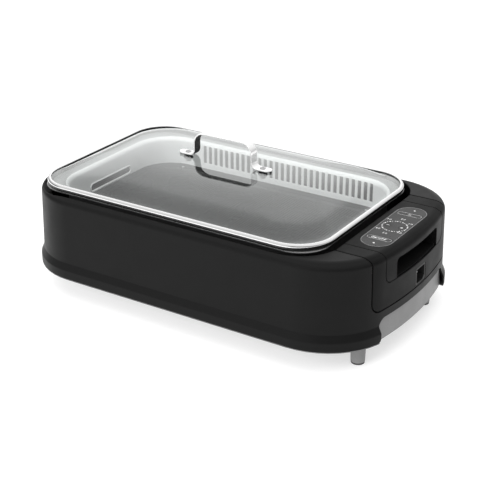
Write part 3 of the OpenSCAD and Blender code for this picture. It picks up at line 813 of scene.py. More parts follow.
def circle(cx, cy, r, n=24, cw=False):
    a = np.linspace(0, 2 * PI, n, endpoint=False)
    c = np.column_stack([cx + r * np.cos(a), cy + r * np.sin(a)])
    return c[::-1] if cw else c


def slab_piece(bd, outer, holes, z0, z1, r=0.2, m=3):
    """A flat plate with softened edges. outer and holes are given at full size, outer CCW and holes CW."""
    T = z1 - z0

    def inset(L, k):
        d = np.roll(L, -1, 0) - np.roll(L, 1, 0)
        d /= np.maximum(np.linalg.norm(d, axis=1), 1e-9)[:, None]
        return L + k * np.column_stack([-d[:, 1], d[:, 0]])

    loops = [inset(L, r) for L in [outer, *holes]]
    sec = edge_section(r, T, m)
    patch(bd, flat_map(z1), loops, [(i, None, None, sec) for i in range(len(loops))], T=T)


def spline(xs, ys, d0, d1):
    """Smooth curve through the points with given end slopes."""
    xs, ys = np.array(xs, float), np.array(ys, float)
    n, h = len(xs), np.diff(xs)
    A, b = np.zeros((n, n)), np.zeros(n)
    A[0, 0] = A[-1, -1] = 1
    b[0], b[-1] = d0, d1
    for i in range(1, n - 1):
        A[i, i - 1], A[i, i], A[i, i + 1] = h[i], 2 * (h[i - 1] + h[i]), h[i - 1]
        b[i] = 3 * (h[i] * (ys[i] - ys[i - 1]) / h[i - 1] + h[i - 1] * (ys[i + 1] - ys[i]) / h[i])
    k = np.linalg.solve(A, b)

    def f(x):
        x = np.clip(x, xs[0], xs[-1])
        i = np.clip(np.searchsorted(xs, x) - 1, 0, n - 2)
        t = (x - xs[i]) / h[i]
        a = ys[i] * (2 * t ** 3 - 3 * t ** 2 + 1) + ys[i + 1] * (3 * t ** 2 - 2 * t ** 3)
        return a + h[i] * (k[i] * (t ** 3 - 2 * t ** 2 + t) + k[i + 1] * (t ** 3 - t ** 2))

    return f


# ---------------------------------------------------------------- grill tray
TX, WCX, WX, WY, WR = -23.6, -20.9, 193.1, 120.0, 50.0
well = slide_outline(WCX, 0, 2 * WX, 2 * WY, WR)
us_well = well.sample(7.0, 2.2)


def build_tray(mat):
    bd = Build()
    prf = fillet([(7.2, 144.8), (0, 144.8), (0, 99.6), (-1.0, 98.6)], [0, 7.0, 0.6, 0])
    z_of = prf.at(np.linspace(0, prf.total, 4000))[0][:, 1]
    v_z = lambda z: np.interp(-np.asarray(z, float), -z_of, np.linspace(0, prf.total, 4000))
    vs = prf.sample(6.0, 0.7)
    V = prf.total
    us, total = us_well, well.total
    bottom = np.column_stack([us, np.zeros(len(us))])
    top = np.column_stack([us[::-1], np.full(len(us), V)])
    side = vs[1:-1]
    outer = np.vstack([bottom, np.column_stack([np.full(len(side), total), side]), top,
                       np.column_stack([np.zeros(len(side)), side[::-1]])])
    holes, r = [], 0.6
    base_u = well.at0[4] + (WCX + WX - WR)
    for i in range(30):
        x = -2 + (i - 14.5) * 9.25
        c = outline_rr(base_u - x, 0, 5 + 2 * r, 25.9 + 2 * r, 0.7 + r)
        L = loop_of(c, 3.0, 0.7)
        # heights run down the wall
        holes.append(np.column_stack([L[:, 0], v_z(z_of_mid(126.05, L[:, 1]))]))
    for k, u0 in ((2, well.at0[2] + (WY - WR)), (6, well.at0[6] + (WY - WR))):
        c = outline_rr(u0, 0, 88 + 4.4, 9 + 4.4, 6.2)
        L = loop_of(c, 6.0, 0.9)
        holes.append(np.column_stack([L[:, 0], v_z(z_of_mid(112.8, L[:, 1]))]))
    holes = [h if signed(h) < 0 else h[::-1] for h in holes]
    # raised bead round each finger slot
    bead = np.array([(1.1 + 1.1 * math.cos(t), 1.1 * math.sin(t), math.cos(t), math.sin(t)) for t in np.linspace(PI, 0, 9)]
                    + [(2.2, -0.4, 1, 0), (2.2, -1.3, 1, 0), (1.9, -1.6, 0, -1), (0, -1.6, 0, -1)])
    fmap = lofted(well, prf)
    sec = edge_section(r, 1.6, 3)
    patch(bd, fmap, [outer, *holes], [(i + 1, None, None, sec if i < 30 else bead) for i in range(len(holes))], us, vs[1:-1], 1.6, 0.9)
    # lower edge turns in under the plate
    P, N = fmap(top[:-1, 0], top[:-1, 1])
    rim(bd, P, N, edge_section(0.5, 1.6, 2))
    # flange
    hole = well.at(us[:-1])[0] + well.at(us[:-1])[1] * 7.2
    out = outline_rr(TX, 0, 420 - 1.0, 271 - 1.0, 39.5)
    patch(bd, flat_map(144.8), [loop_of(out, 8.0, 1.6), hole[::-1]], [(0, None, None, edge_section(0.5, 1.6, 3))], T=1.6)
    # painted shade: the flange's top gets a darker copy of the well's silver, and the outer and downward faces a
    # near-black one
    pts = np.concatenate(bd.v)
    for k, (f, n) in enumerate(zip(bd.f, bd.n)):
        c, m = pts[f].mean(0), np.mean(np.asarray(n, float), 0)
        q = np.array([c[0] - WCX, c[1]])
        q = q - np.clip(q, (-143, -70), (143, 70))
        if m[2] > 0.5 and c[2] > 144.3:
            bd.mat[k] = 1
        elif m[2] < -0.5 or m[:2] @ q > 0.5 * np.hypot(*q):
            bd.mat[k] = 2
    return bd.make("tray_shell", mat)


def z_of_mid(mid, dz):
    return mid - dz


def signed(L):
    a, b = L, np.roll(L, -1, 0)
    return float((a[:, 0] * b[:, 1] - b[:, 0] * a[:, 1]).sum())


def build_plate(mat):
    bd = Build()
    prf = fillet([(-0.3, 98.4), (-0.3, 105.2), (-1.0, 105.2), (-7.0, 101.8), (-9.2, 101.8)], [0, 0.3, 0.3, 5.0, 0])
    us = us_well[:-1]
    vs = prf.sample(2.0, 0.6)
    rows, norms = [], []
    fmap = lofted(well, prf)
    for v in vs:
        P, N = fmap(us, np.full(len(us), v))
        rows.append(P)
        norms.append(N)
    bd.grid(rows, norms, closed_u=True)
    edge = well.at(us)[0] - well.at(us)[1] * 9.2
    under = well.at(us)[0] - well.at(us)[1] * 0.3
    # cells of the fine grid
    pitch, g, h = 4.0, 0.8, 0.55
    nx, ny = 90, 52
    x0, y0 = WCX - nx * pitch / 2, -ny * pitch / 2
    ii, jj = np.meshgrid(np.arange(nx), np.arange(ny), indexing="ij")
    ok = np.ones((nx, ny), bool)
    big = well.at(us)[0] - well.at(us)[1] * 11.5
    for a, b in ((0, 0), (1, 0), (0, 1), (1, 1)):
        pts = np.column_stack([(x0 + (ii + a) * pitch).ravel(), (y0 + (jj + b) * pitch).ravel()])
        ok &= inside(pts, [big]).reshape(nx, ny)
    loc = np.array([0, g, pitch - g, pitch])
    zt = 101.8
    hz = np.array([[0, 0, 0, 0], [0, h, h, 0], [0, h, h, 0], [0, 0, 0, 0]])
    sl = np.array([-1, 0, 1]) * h / g
    V, F, NN = [], [], []
    for i in range(nx):
        for j in range(ny):
            if not ok[i, j]:
                continue
            k0 = len(V)
            for a in range(4):
                for b in range(4):
                    V.append((x0 + i * pitch + loc[a], y0 + j * pitch + loc[b], zt + hz[a, b]))
            for a in range(3):
                for b in range(3):
                    q = [k0 + a * 4 + b, k0 + (a + 1) * 4 + b, k0 + (a + 1) * 4 + b + 1, k0 + a * 4 + b + 1]
                    n = np.array([sl[a] if b == 1 or a != 1 else 0, sl[b] if a == 1 or b != 1 else 0, 1.0])
                    if a != 1 and b != 1:
                        n = np.array([sl[a] * 0.7, sl[b] * 0.7, 1.0])
                        # split along the diagonal that leaves the outer corner flat
                        hi = (1 if a == 0 else 0, 1 if b == 0 else 0)
                        s = q if (a == b) else q[1:] + q[:1]
                        F += [[s[0], s[1], s[3]], [s[1], s[2], s[3]]]
                        NN += [[n] * 3, [n] * 3]
                    else:
                        F.append(q)
                        NN.append([n] * 4)
    bd.add(np.array(V), F, NN)
    # outline of the cells, for the flat surround
    nxt = {}
    key = lambda x, y: (round(x, 4), round(y, 4))
    for i in range(nx):
        for j in range(ny):
            if not ok[i, j]:
                continue
            xa, ya = x0 + i * pitch, y0 + j * pitch
            for cond, p, q in (
                (j == 0 or not ok[i, j - 1], (xa, ya), (xa + pitch, ya)),
                (i == nx - 1 or not ok[i + 1, j], (xa + pitch, ya), (xa + pitch, ya + pitch)),
                (j == ny - 1 or not ok[i, j + 1], (xa + pitch, ya + pitch), (xa, ya + pitch)),
                (i == 0 or not ok[i - 1, j], (xa, ya + pitch), (xa, ya))):
                if cond:
                    d = np.array(q) - p
                    w = [np.array(p) + d * t for t in (0, g / pitch, 1 - g / pitch, 1)]
                    for a, b in zip(w[:-1], w[1:]):
                        nxt[key(*a)] = (tuple(a), key(*b))
    start = next(iter(nxt))
    loop, k = [], start
    while True:
        pt, k2 = nxt[k]
        loop.append(pt)
        k = k2
        if k == start:
            break
    loop = np.array(loop)
    holes = [loop[::-1]]
    patch(bd, flat_map(zt), [edge, *holes], [], back=False)
    bd.cap(np.column_stack([under, np.full(len(under), 98.4)]), (0, 0, -1))
    return bd.make("plate_shell", mat)


def build_screws(name, spots, z, r, h, mat, drive=True):
    """Low round heads with a small round recess sunk in the middle."""
    bd = Build()
    sec = fillet([(r, z), (r, z + h * 0.45), (r * 0.62, z + h), (r * 0.42, z + h), (r * 0.3, z + h - min(0.7, h * 0.6)), (0, z + h - min(0.7, h * 0.6))],
                 [0, h * 0.25, r * 0.5, 0.1, 0.1, 0])
    for i, (x, y) in enumerate(spots):
        lathe(bd, x, y, sec, 0.5, 32)
        bd.cap(np.column_stack([circle(x, y, r, 32), np.full(32, z)]), (0, 0, -1))
    return bd.make(name, mat)


# ----------------------------------------------------------------------- lid
lid_line = outline_rr(TX, 0, 421, 272, 49)
us_lid = lid_line.sample(9.0, 1.8)[:-1]


def build_rim(mat):
    """Channel round the glass's edge: upright face between two inward lips."""
    bd = Build()
    sec = fillet([(-4.5, 145.1), (1.8, 145.1), (1.8, 153.8), (-3.0, 153.8), (-3.0, 152.6), (0.1, 152.6), (0.1, 146.3), (-4.5, 146.3)],
                 [0.4, 3.4, 3.4, 0.6, 0.35, 0.4, 0.4, 0.3], True)
    sweep(bd, lid_line, us_lid, sec)
    # painted reflection: the lower half of the outer face gets a dark material, standing in for the black deck
    # mirrored in the steel
    pts = np.concatenate(bd.v)
    for i, f in enumerate(bd.f):
        if pts[f, 2].mean() < 150.3:
            bd.mat[i] = 1
    return bd.make("rim_band", mat)


def build_seal(mat):
    bd = Build()
    sec = fillet([(-4.7, 146.7), (-0.3, 146.7), (-0.3, 152.2), (-1.1, 152.2), (-1.1, 147.85), (-4.7, 147.85)], [0.3, 0.4, 0.3, 0.3, 0.3, 0.4], True)
    sweep(bd, lid_line, us_lid, sec)
    return bd.make("seal_ring", mat)


drop = spline([1.6, 5, 20, 42, 70, 98, 124], [24.4, 23.9, 16.6, 9.2, 3.4, 0.75, 0], 0, 0)


def dome_loop(d, counts=(30, 26, 18)):
    """One level of the dome: rounded rectangle whose corners widen inwards."""
    l, w = 421 - 2 * d, 272 - 2 * d
    a, b = 49 + 0.3 * (d - 5), w / 2
    k = 7.0
    r = min(-k * math.log(math.exp(-a / k) + math.exp(-b / k)), b - 0.02)
    x, y = l / 2 - r, w / 2 - r
    nx, na, ny = counts
    pts = []
    q = PI / 2
    for i in range(nx):
        pts.append((x - 2 * x * i / nx, w / 2))
    for i in range(na):
        t = q + q * i / na
        pts.append((-x + r * math.cos(t), y + r * math.sin(t)))
    for i in range(ny):
        pts.append((-l / 2, y - 2 * y * i / ny))
    for i in range(na):
        t = 2 * q + q * i / na
        pts.append((-x + r * math.cos(t), -y + r * math.sin(t)))
    for i in range(nx):
        pts.append((-x + 2 * x * i / nx, -w / 2))
    for i in range(na):
        t = 3 * q + q * i / na
        pts.append((x + r * math.cos(t), -y + r * math.sin(t)))
    for i in range(ny):
        pts.append((l / 2, -y + 2 * y * i / ny))
    for i in range(na):
        t = 4 * q + q * i / na
        pts.append((x + r * math.cos(t), y + r * math.sin(t)))
    return np.array(pts) + [TX, 0]


def build_glass(mat):
    bd = Build()
    ds = np.concatenate([[1.6, 2.7, 3.8], np.linspace(5, 30, 18), np.linspace(32.5, 124, 34)])
    P = np.array([np.column_stack([dome_loop(d), np.full(len(dome_loop(d)), 176.6 - float(drop(d)))]) for d in ds])
    du = np.roll(P, -1, 1) - np.roll(P, 1, 1)
    dv = np.gradient(P, axis=0)
    N = np.cross(du, dv)
    N /= np.maximum(np.linalg.norm(N, axis=2), 1e-9)[..., None]
    # near the middle the rings narrow to a line, where the dome is flat
    w = np.clip((ds - 108) / 16, 0, 1)[:, None, None]
    N = N * (1 - w) + np.array([0, 0, 1.0]) * w
    N /= np.linalg.norm(N, axis=2)[..., None]
    T = 4.0
    bd.grid(P, N, closed_u=True)
    Q = P - T * N
    Q[:, :, 2] = np.maximum(np.minimum(Q[:, :, 2], P[:, :, 2] - T * 0.6), 148.35 + 0.02 * (ds[:, None] - 5))
    bd.grid(Q, -N, closed_u=True, flip=True)
    for S, n in ((P[-1], (0, 0, 1)), (Q[-1], (0, 0, -1))):
        S = S.copy()
        bd.cap(S, n)
    # rounded lower edge
    c, rr = (P[0] + Q[0]) / 2, T / 2
    out = c - P[0]
    tang = np.roll(P[0], -1, 0) - np.roll(P[0], 1, 0)
    tang /= np.linalg.norm(tang, axis=1)[:, None]
    a = P[0] - c
    a /= np.linalg.norm(a, axis=1)[:, None]
    b = np.cross(a, tang)
    b /= np.linalg.norm(b, axis=1)[:, None]
    b *= np.sign(((P[0] - P[0].mean(0)) * b).sum(1))[:, None]
    half = np.linalg.norm(P[0] - c, axis=1)[:, None]
    rows, norms = [], []
    for t in np.linspace(0, PI, 7):
        rows.append(c + half * (math.cos(t) * a + 0.2 * math.sin(t) * b))
        norms.append(math.cos(t) * a + math.sin(t) * b)
    bd.grid(rows, norms, closed_u=True, flip=True)
    return bd.make("glass_dome", mat)


HCX = -22.5


def build_strap(mat):
    """Bent strap with rounded ends and softened edges."""
    bd = Build()
    zt, zh = 179.8, 212.0
    half = [(-70.75, zt), (-45.2, zt), (-45.2, zh), (0, zh)]
    full = half[:-1] + [(45.2, zh), (45.2, zt), (70.75, zt)]
    # outer face, seen from the front; the foot bends have the smaller radius on this side
    path = fillet(full, [0, 6.8, 16, 16, 6.8, 0])
    s = path.sample(2.4, 0.9)
    s = np.array(sorted(set(np.round(np.concatenate([s, np.linspace(0, 6.75, 3)]), 6))))
    end = 6.75 * (1 - np.cos(np.linspace(0.12, PI / 2, 9)))
    s = np.array(sorted(set(np.round(np.concatenate([s[(s > 6.8) & (s < path.total - 6.8)], end, path.total - end]), 6))))
    q, m = path.at(s)
    up = -m  # the path runs left to right with the outer face above
    sect = fillet([(6.75, -2.2), (6.75, 0), (-6.75, 0), (-6.75, -2.2)], [0.85, 0.85, 0.85, 0.85], True)
    ss = sect.sample(2.2, 0.3)[:-1]
    c, n = sect.at(ss)
    rows, norms = [], []
    for (x, z), u_, t in zip(q, up, s):
        e = min(t, path.total - t)
        k = 1.0 if e >= 6.75 else math.sqrt(max(0.0, 6.75 ** 2 - (6.75 - e) ** 2)) / 6.75
        sgn = -1 if t < path.total / 2 else 1
        slope = 0.0 if e >= 6.75 else (6.75 - e) / 6.75
        P = np.column_stack([HCX + x + u_[0] * c[:, 1], c[:, 0] * k, z + u_[1] * c[:, 1]])
        ny = n[:, 0] * k if k < 1 else n[:, 0]
        W = np.column_stack([u_[0] * n[:, 1] + sgn * slope * np.abs(n[:, 0]), ny, u_[1] * n[:, 1]])
        rows.append(P)
        norms.append(W / np.maximum(np.linalg.norm(W, axis=1), 1e-9)[:, None])
    bd.grid(rows, norms, closed_u=True)
    # painted shade: the inner side of the steel strap gets a near-black material
    for i in range(len(c)):
        if c[i, 1] < -1.9 and c[(i + 1) % len(c), 1] < -1.9:
            bd.mat[i::len(c)] = [1] * len(bd.mat[i::len(c)])
    bd.cap(rows[0], (-1, 0, 0))
    bd.cap(rows[-1], (1, 0, 0))
    return bd.make("handle_strap", mat)


def build_spacers(mat):
    bd = Build()
    for s in (-58, 58):
        for z0, z1 in ((176.5, 177.6), (171.4, 172.6)):
            sec = fillet([(0, z0), (6.4, z0), (6.4, z1), (0, z1)], [0, 0.35, 0.35, 0])
            lathe(bd, HCX + s, 0, sec, 2.0, 40)
    return bd.make("handle_pads", mat)


def build_nuts(mat):
    """Domed cap nuts with a hexagon."""
    bd = Build()
    for s in (-58, 58):
        a = np.linspace(0, 2 * PI, 7)[:-1]
        hexa = np.column_stack([HCX + s + 4.4 * np.cos(a), 4.4 * np.sin(a)])
        dense = np.vstack([hexa[i] + (hexa[(i + 1) % 6] - hexa[i]) * t for i in range(6) for t in (0.04, 0.5, 0.96)]).reshape(-1, 2)
        slab_piece(bd, dense, [], 168.2, 171.4, 0.25, 2)
        sec = fillet([(0, 166.4), (3.4, 166.6), (3.6, 168.3)], [0, 1.4, 0])
        lathe(bd, HCX + s, 0, sec, 0.8, 32)
        bd.cap(np.column_stack([circle(HCX + s, 0, 3.6, 32), np.full(32, 168.3)]), (0, 0, 1))
    return bd.make("handle_cap_nuts", mat)


# --------------------------------------------------------------- touch panel
PX, PY, PZ = 224.7, -1.5, 144.4
LENS = [(225 + 15.6 * math.cos(math.radians(i * 30 + 15)), PY + 15.6 * math.sin(math.radians(i * 30 + 15))) for i in range(12)]
DOTS = [(225, PY + 56.3), (225, PY - 56.3)]


def build_film(mat):
    bd = Build()
    out = loop_of(outline_rr(PX, PY, 40, 133, 19.95), 5.0, 1.0)
    holes = []
    for s in (-1, 1):
        holes.append(loop_of(outline_rr(225, PY + s * 41.6, 33.5, 10.0, 4.25), 3.0, 0.5)[::-1])
        holes.append(circle(225 + s * 9.2, PY, 4.25, 32, True))
    for c in LENS:
        holes.append(circle(*c, 0.8, 12, True))
    for c in DOTS:
        holes.append(circle(*c, 1.3, 16, True))
    slab_piece(bd, out, holes, PZ - 1.2, PZ, 0.12, 2)
    return bd.make("panel_skin", mat)


def build_key(name, shape, mat):
    bd = Build()
    slab_piece(bd, shape, [], PZ - 4.7, PZ, 0.18, 3)
    return bd.make(name, mat)


def build_lenses(mat):
    bd = Build()
    for c, r in [(c, 0.7) for c in LENS] + [(c, 1.2) for c in DOTS]:
        sec = fillet([(0, PZ - 3), (r, PZ - 3), (r, PZ), (0, PZ)], [0, 0, 0.15, 0])
        lathe(bd, *c, sec, 0.5, 16)
    return bd.make("light_lenses", mat)


def capsule(bd, p, q, w, z):
    """A short printed stroke."""
    p, q = np.array(p, float), np.array(q, float)
    d = q - p
    L = max(np.hypot(*d), 1e-6)
    a0 = math.atan2(d[1], d[0])
    ring = []
    for c, a in ((q, a0 - PI / 2), (p, a0 + PI / 2)):
        for t in np.linspace(0, PI, 5):
            ring.append(c + w / 2 * np.array([math.cos(a + t), math.sin(a + t)]))
    ring = np.array(ring)
    n = len(ring)
    lo, hi = np.column_stack([ring, np.full(n, z)]), np.column_stack([ring, np.full(n, z + 0.03)])
    out = np.column_stack([ring - (p + q) / 2, np.zeros(n)])
    bd.grid([lo, hi], [out, out], closed_u=True)
    bd.cap(hi, (0, 0, 1))
    bd.cap(lo, (0, 0, -1))


def strokes(bd, lines, x, y, h, w, z):
    for ln in lines:
        for p, q in zip(ln[:-1], ln[1:]):
            capsule(bd, (x + p[0] * h, y + p[1] * h), (x + q[0] * h, y + q[1] * h), w, z)


DIGIT = {
    "1": [[(.12, .8), (.34, 1), (.34, 0)]],
    "2": [[(.02, .76), (.1, .94), (.3, 1), (.52, .94), (.6, .76), (.52, .56), (0, 0), (.62, 0)]],
    "3": [[(.02, .9), (.26, 1), (.5, .94), (.57, .76), (.47, .57), (.25, .53)], [(.25, .53), (.5, .47), (.6, .27), (.5, .06), (.26, 0), (0, .1)]],
    "4": [[(.46, 0), (.46, 1), (0, .3), (.62, .3)]],
    "5": [[(.55, 1), (.1, 1), (.05, .58), (.3, .64), (.53, .54), (.6, .32), (.5, .08), (.26, 0), (0, .08)]],
    "6": [[(.5, .96), (.3, 1), (.1, .82), (.01, .42), (.06, .12), (.3, 0), (.54, .12), (.6, .33), (.5, .55), (.3, .61), (.06, .46)]],
    "O": [[(.12, 0), (.0, .2), (0, .8), (.12, 1), (.48, 1), (.6, .8), (.6, .2), (.48, 0), (.12, 0)]],
    "N": [[(0, 0), (0, 1), (.6, 0), (.6, 1)]],
    "F": [[(0, 0), (0, 1), (.55, 1)], [(0, .52), (.45, .52)]],
    "/": [[(0, 0), (.36, 1)]],
}


def build_print(mat):
    """Printed marks that belong to the fixed film."""
    bd = Build()
    z = PZ - 0.005
    ring = loop_of(outline_rr(PX, PY, 38.4, 131.4, 19.1), 6.0, 1.6)
    for p, q in zip(ring, np.roll(ring, -1, 0)):
        capsule(bd, p, q, 0.5, z)
    bd.mat = [1] * len(bd.mat)
    for i in range(30):
        a = math.radians(i * 12 + 6)
        d = np.array([math.cos(a), math.sin(a)])
        t = np.array([-d[1], d[0]])
        c = np.array([225, PY]) + 15.6 * d
        r = np.array([t[1], -t[0]])
        capsule(bd, c - r * 0.6, c + r * 0.6, 0.7, z)
    for ch, (x, y) in zip("123456", ((210, 14.7), (225, 23.2), (238.7, 14.6), (210.5, -17), (224, -25.8), (238.5, -15.8))):
        strokes(bd, DIGIT[ch], x - 3.1, y - 1.5, 3.0, 0.5, z)
        strokes(bd, DIGIT["O"], x + 0.3, y - 1.5, 3.0, 0.5, z)
    return bd.make("panel_print", mat)


def build_key_print(name, mat, what):
    bd = Build()
    z = PZ - 0.005
    if what in ("power", "fan"):
        y0 = PY + (-41.6 if what == "power" else 41.6)
        ring = loop_of(outline_rr(225, y0, 31.2, 7.9, 3.3), 4.0, 0.7)
        for p, q in zip(ring, np.roll(ring, -1, 0)):
            capsule(bd, p, q, 0.5, z)
        bd.mat = [1] * len(bd.mat)
    if what == "power":
        x = 225 - 9.9
        for ch in "ON/OFF":
            strokes(bd, DIGIT[ch], x, y0 - 1.7, 3.4, 0.6, z)
            x += 3.5 if ch != "/" else 2.7
    elif what == "fan":
        for k in range(4):
            a = math.radians(45 + 90 * k)
            c = np.array([225, y0])
            d, t = np.array([math.cos(a), math.sin(a)]), np.array([-math.sin(a), math.cos(a)])
            pts = [c + d * 0.5, c + d * 1.4 + t * 0.5, c + d * 2.2 + t * 0.1, c + d * 1.9 - t * 0.6, c + d * 1.0 - t * 0.3, c + d * 0.5]
            for p, q in zip(pts[:-1], pts[1:]):
                capsule(bd, p, q, 0.42, z)
    elif what == "minus":
        capsule(bd, (225 - 9.2 - 1.7, PY), (225 - 9.2 + 1.7, PY), 0.6, z)
    else:
        capsule(bd, (225 + 9.2 - 1.7, PY), (225 + 9.2 + 1.7, PY), 0.6, z)
        capsule(bd, (225 + 9.2, PY - 1.7), (225 + 9.2, PY + 1.7), 0.6, z + 0.001)
    return bd.make(name, mat)


def build_feet(mat, mat_pad):
    bd, bp = Build(), Build()
    for x in (-228, 228):
        for y in (-92, 92):
            sec = fillet([(0, 2.4), (8.9, 2.4), (9.5, 30.2), (12.9, 31.2), (12.9, 33), (0, 33)], [0, 0.8, 1.6, 0.5, 0, 0])
            lathe(bd, x, y, sec, 5, 48)
            sec = fillet([(0, 0), (8.5, 0), (8.5, 2.4), (0, 2.4)], [0, 0.8, 0.2, 0])
            lathe(bp, x, y, sec, 4, 48)
    return bd.make("foot_posts", mat), bp.make("foot_soles", mat_pad)


def build_pan_edge(mat):
    """Rolled lower edge of the pan, left out where the grip arches are."""
    bd = Build()
    us = body.sample(4.0, 3.0)[:-1]
    o, n = body.at(us)
    sec = fillet([(-8.0, 32.5), (-0.5, 32.5), (-0.5, 33.6), (-5.6, 33.6), (-5.6, 35.0), (-8.0, 35.0)], [0.3, 0.5, 0.4, 0.3, 0.9, 0.3], True)
    q, m = sec.at(sec.sample(1.2, 0.5)[:-1])
    keep = (np.abs(o[:, 1]) > 92) | (np.abs(o[:, 0]) < 200)
    for side in (-1, 1):
        run = np.where(keep & (o[:, 1] * side > 0))[0]
        run = run[np.argsort(-side * o[run, 0])]
        a, b = o[run], n[run]
        rows = [np.column_stack([a + b * c[0], np.full(len(a), c[1])]) for c in q]
        norms = [np.column_stack([b * d[0], np.full(len(a), d[1])]) for d in m]
        bd.grid(rows, norms, closed_v=True)
        t = a[1] - a[0]
        bd.cap([r[0] for r in rows], (-t[0], -t[1], 0))
        bd.cap([r[-1] for r in rows], (a[-1] - a[-2]).tolist() + [0])
    return bd.make("pan_edge", mat)


# ----------------------------------------------------------------- materials
def surface(name, base, rough, metal=0.0, spec=0.5, grain=900, bump=0.12, depth=0.00004, rvar=0.06, cvar=0.06, stretch=None, fleck=None, coat=0.0):
    """A finish with uneven colour, uneven gloss and a fine relief, all from noise in the object's own space."""
    m = bpy.data.materials.new(name)
    m.use_nodes = True
    nt = m.node_tree
    b = nt.nodes["Principled BSDF"]
    b.inputs["Metallic"].default_value = metal
    b.inputs["Specular IOR Level"].default_value = spec
    if coat:
        b.inputs["Coat Weight"].default_value = coat
        b.inputs["Coat Roughness"].default_value = 0.12
    tc = nt.nodes.new("ShaderNodeTexCoord")
    src = tc.outputs["Object"]
    if stretch:
        mp = nt.nodes.new("ShaderNodeMapping")
        mp.inputs["Scale"].default_value = stretch
        nt.links.new(src, mp.inputs["Vector"])
        src = mp.outputs["Vector"]

    def noise(scale, detail=3.0, vec=None):
        n = nt.nodes.new("ShaderNodeTexNoise")
        n.inputs["Scale"].default_value = scale
        n.inputs["Detail"].default_value = detail
        nt.links.new(vec or src, n.inputs["Vector"])
        return n.outputs["Fac"]

    def spread(fac, lo, hi):
        r = nt.nodes.new("ShaderNodeMapRange")
        r.inputs["From Min"].default_value, r.inputs["From Max"].default_value = 0.3, 0.7
        r.inputs["To Min"].default_value, r.inputs["To Max"].default_value = lo, hi
        nt.links.new(fac, r.inputs["Value"])
        return r.outputs["Result"]

    cloud = noise(38, 4.0, tc.outputs["Object"])
    fine = noise(grain, 2.0)
    nt.links.new(spread(cloud, max(0.03, rough - rvar), min(1, rough + rvar)), b.inputs["Roughness"])
    ramp = nt.nodes.new("ShaderNodeValToRGB")
    e = ramp.color_ramp.elements
    e[0].position, e[1].position = 0.32, 0.68
    e[0].color = (*[max(0, c * (1 - cvar)) for c in base], 1)
    e[1].color = (*[min(1, c * (1 + cvar)) for c in base], 1)
    if fleck:
        k = e.new(0.74)
        k.color = (*fleck, 1)
    nt.links.new(fine, ramp.inputs["Fac"])
    nt.links.new(ramp.outputs["Color"], b.inputs["Base Color"])
    bp = nt.nodes.new("ShaderNodeBump")
    bp.inputs["Strength"].default_value = bump
    bp.inputs["Distance"].default_value = depth * 1.0
    nt.links.new(fine, bp.inputs["Height"])
    nt.links.new(bp.outputs["Normal"], b.inputs["Normal"])
    return m


def clear_glass(name):
    """Thin clear glass: looks straight through, mirrors more towards grazing angles, and lets light pass."""
    m = bpy.data.materials.new(name)
    m.use_nodes = True
    nt = m.node_tree
    nt.nodes.clear()
    out = nt.nodes.new("ShaderNodeOutputMaterial")
    g = nt.nodes.new("ShaderNodeBsdfGlossy")
    g.inputs["Color"].default_value = (0.97, 0.985, 0.98, 1)
    t = nt.nodes.new("ShaderNodeBsdfTransparent")
    t.inputs["Color"].default_value = (0.965, 0.975, 0.972, 1)
    mix = nt.nodes.new("ShaderNodeMixShader")
    lw = nt.nodes.new("ShaderNodeLayerWeight")
    lw.inputs["Blend"].default_value = 0.5
    pw = nt.nodes.new("ShaderNodeMath")
    pw.operation = "POWER"
    pw.inputs[1].default_value = 2.9
    ma = nt.nodes.new("ShaderNodeMath")
    ma.operation = "MULTIPLY_ADD"
    ma.inputs[1].default_value, ma.inputs[2].default_value = 0.90, 0.085
    nt.links.new(lw.outputs["Facing"], pw.inputs[0])
    nt.links.new(pw.outputs[0], ma.inputs[0])
    lp = nt.nodes.new("ShaderNodeLightPath")
    mx = nt.nodes.new("ShaderNodeMath")
    mx.operation = "MAXIMUM"
    nt.links.new(lp.outputs["Is Shadow Ray"], mx.inputs[0])
    nt.links.new(lp.outputs["Is Diffuse Ray"], mx.inputs[1])
    inv = nt.nodes.new("ShaderNodeMath")
    inv.operation = "SUBTRACT"
    inv.inputs[0].default_value = 1.0
    nt.links.new(mx.outputs[0], inv.inputs[1])
    both = nt.nodes.new("ShaderNodeMath")
    both.operation = "MULTIPLY"
    # only the face that is met from outside mirrors, so a reflection shows once
    geo = nt.nodes.new("ShaderNodeNewGeometry")
    front = nt.nodes.new("ShaderNodeMath")
    front.operation = "SUBTRACT"
    front.inputs[0].default_value = 1.0
    nt.links.new(geo.outputs["Backfacing"], front.inputs[1])
    once = nt.nodes.new("ShaderNodeMath")
    once.operation = "MULTIPLY"
    nt.links.new(ma.outputs[0], once.inputs[0])
    nt.links.new(front.outputs[0], once.inputs[1])
    nt.links.new(once.outputs[0], both.inputs[0])
    nt.links.new(inv.outputs[0], both.inputs[1])
    nt.links.new(both.outputs[0], mix.inputs["Fac"])
    nt.links.new(t.outputs[0], mix.inputs[1])
    nt.links.new(g.outputs[0], mix.inputs[2])
    tc = nt.nodes.new("ShaderNodeTexCoord")
    n = nt.nodes.new("ShaderNodeTexNoise")
    n.inputs["Scale"].default_value = 60
    n.inputs["Detail"].default_value = 3
    r = nt.nodes.new("ShaderNodeMapRange")
    r.inputs["To Min"].default_value, r.inputs["To Max"].default_value = 0.0, 0.02
    nt.links.new(tc.outputs["Object"], n.inputs["Vector"])
    nt.links.new(n.outputs["Fac"], r.inputs["Value"])
    nt.links.new(r.outputs["Result"], g.inputs["Roughness"])
    nt.links.new(mix.outputs[0], out.inputs["Surface"])
    return m


def grey(v, t=(1, 1, 1)):
    return tuple(v * k for k in t)


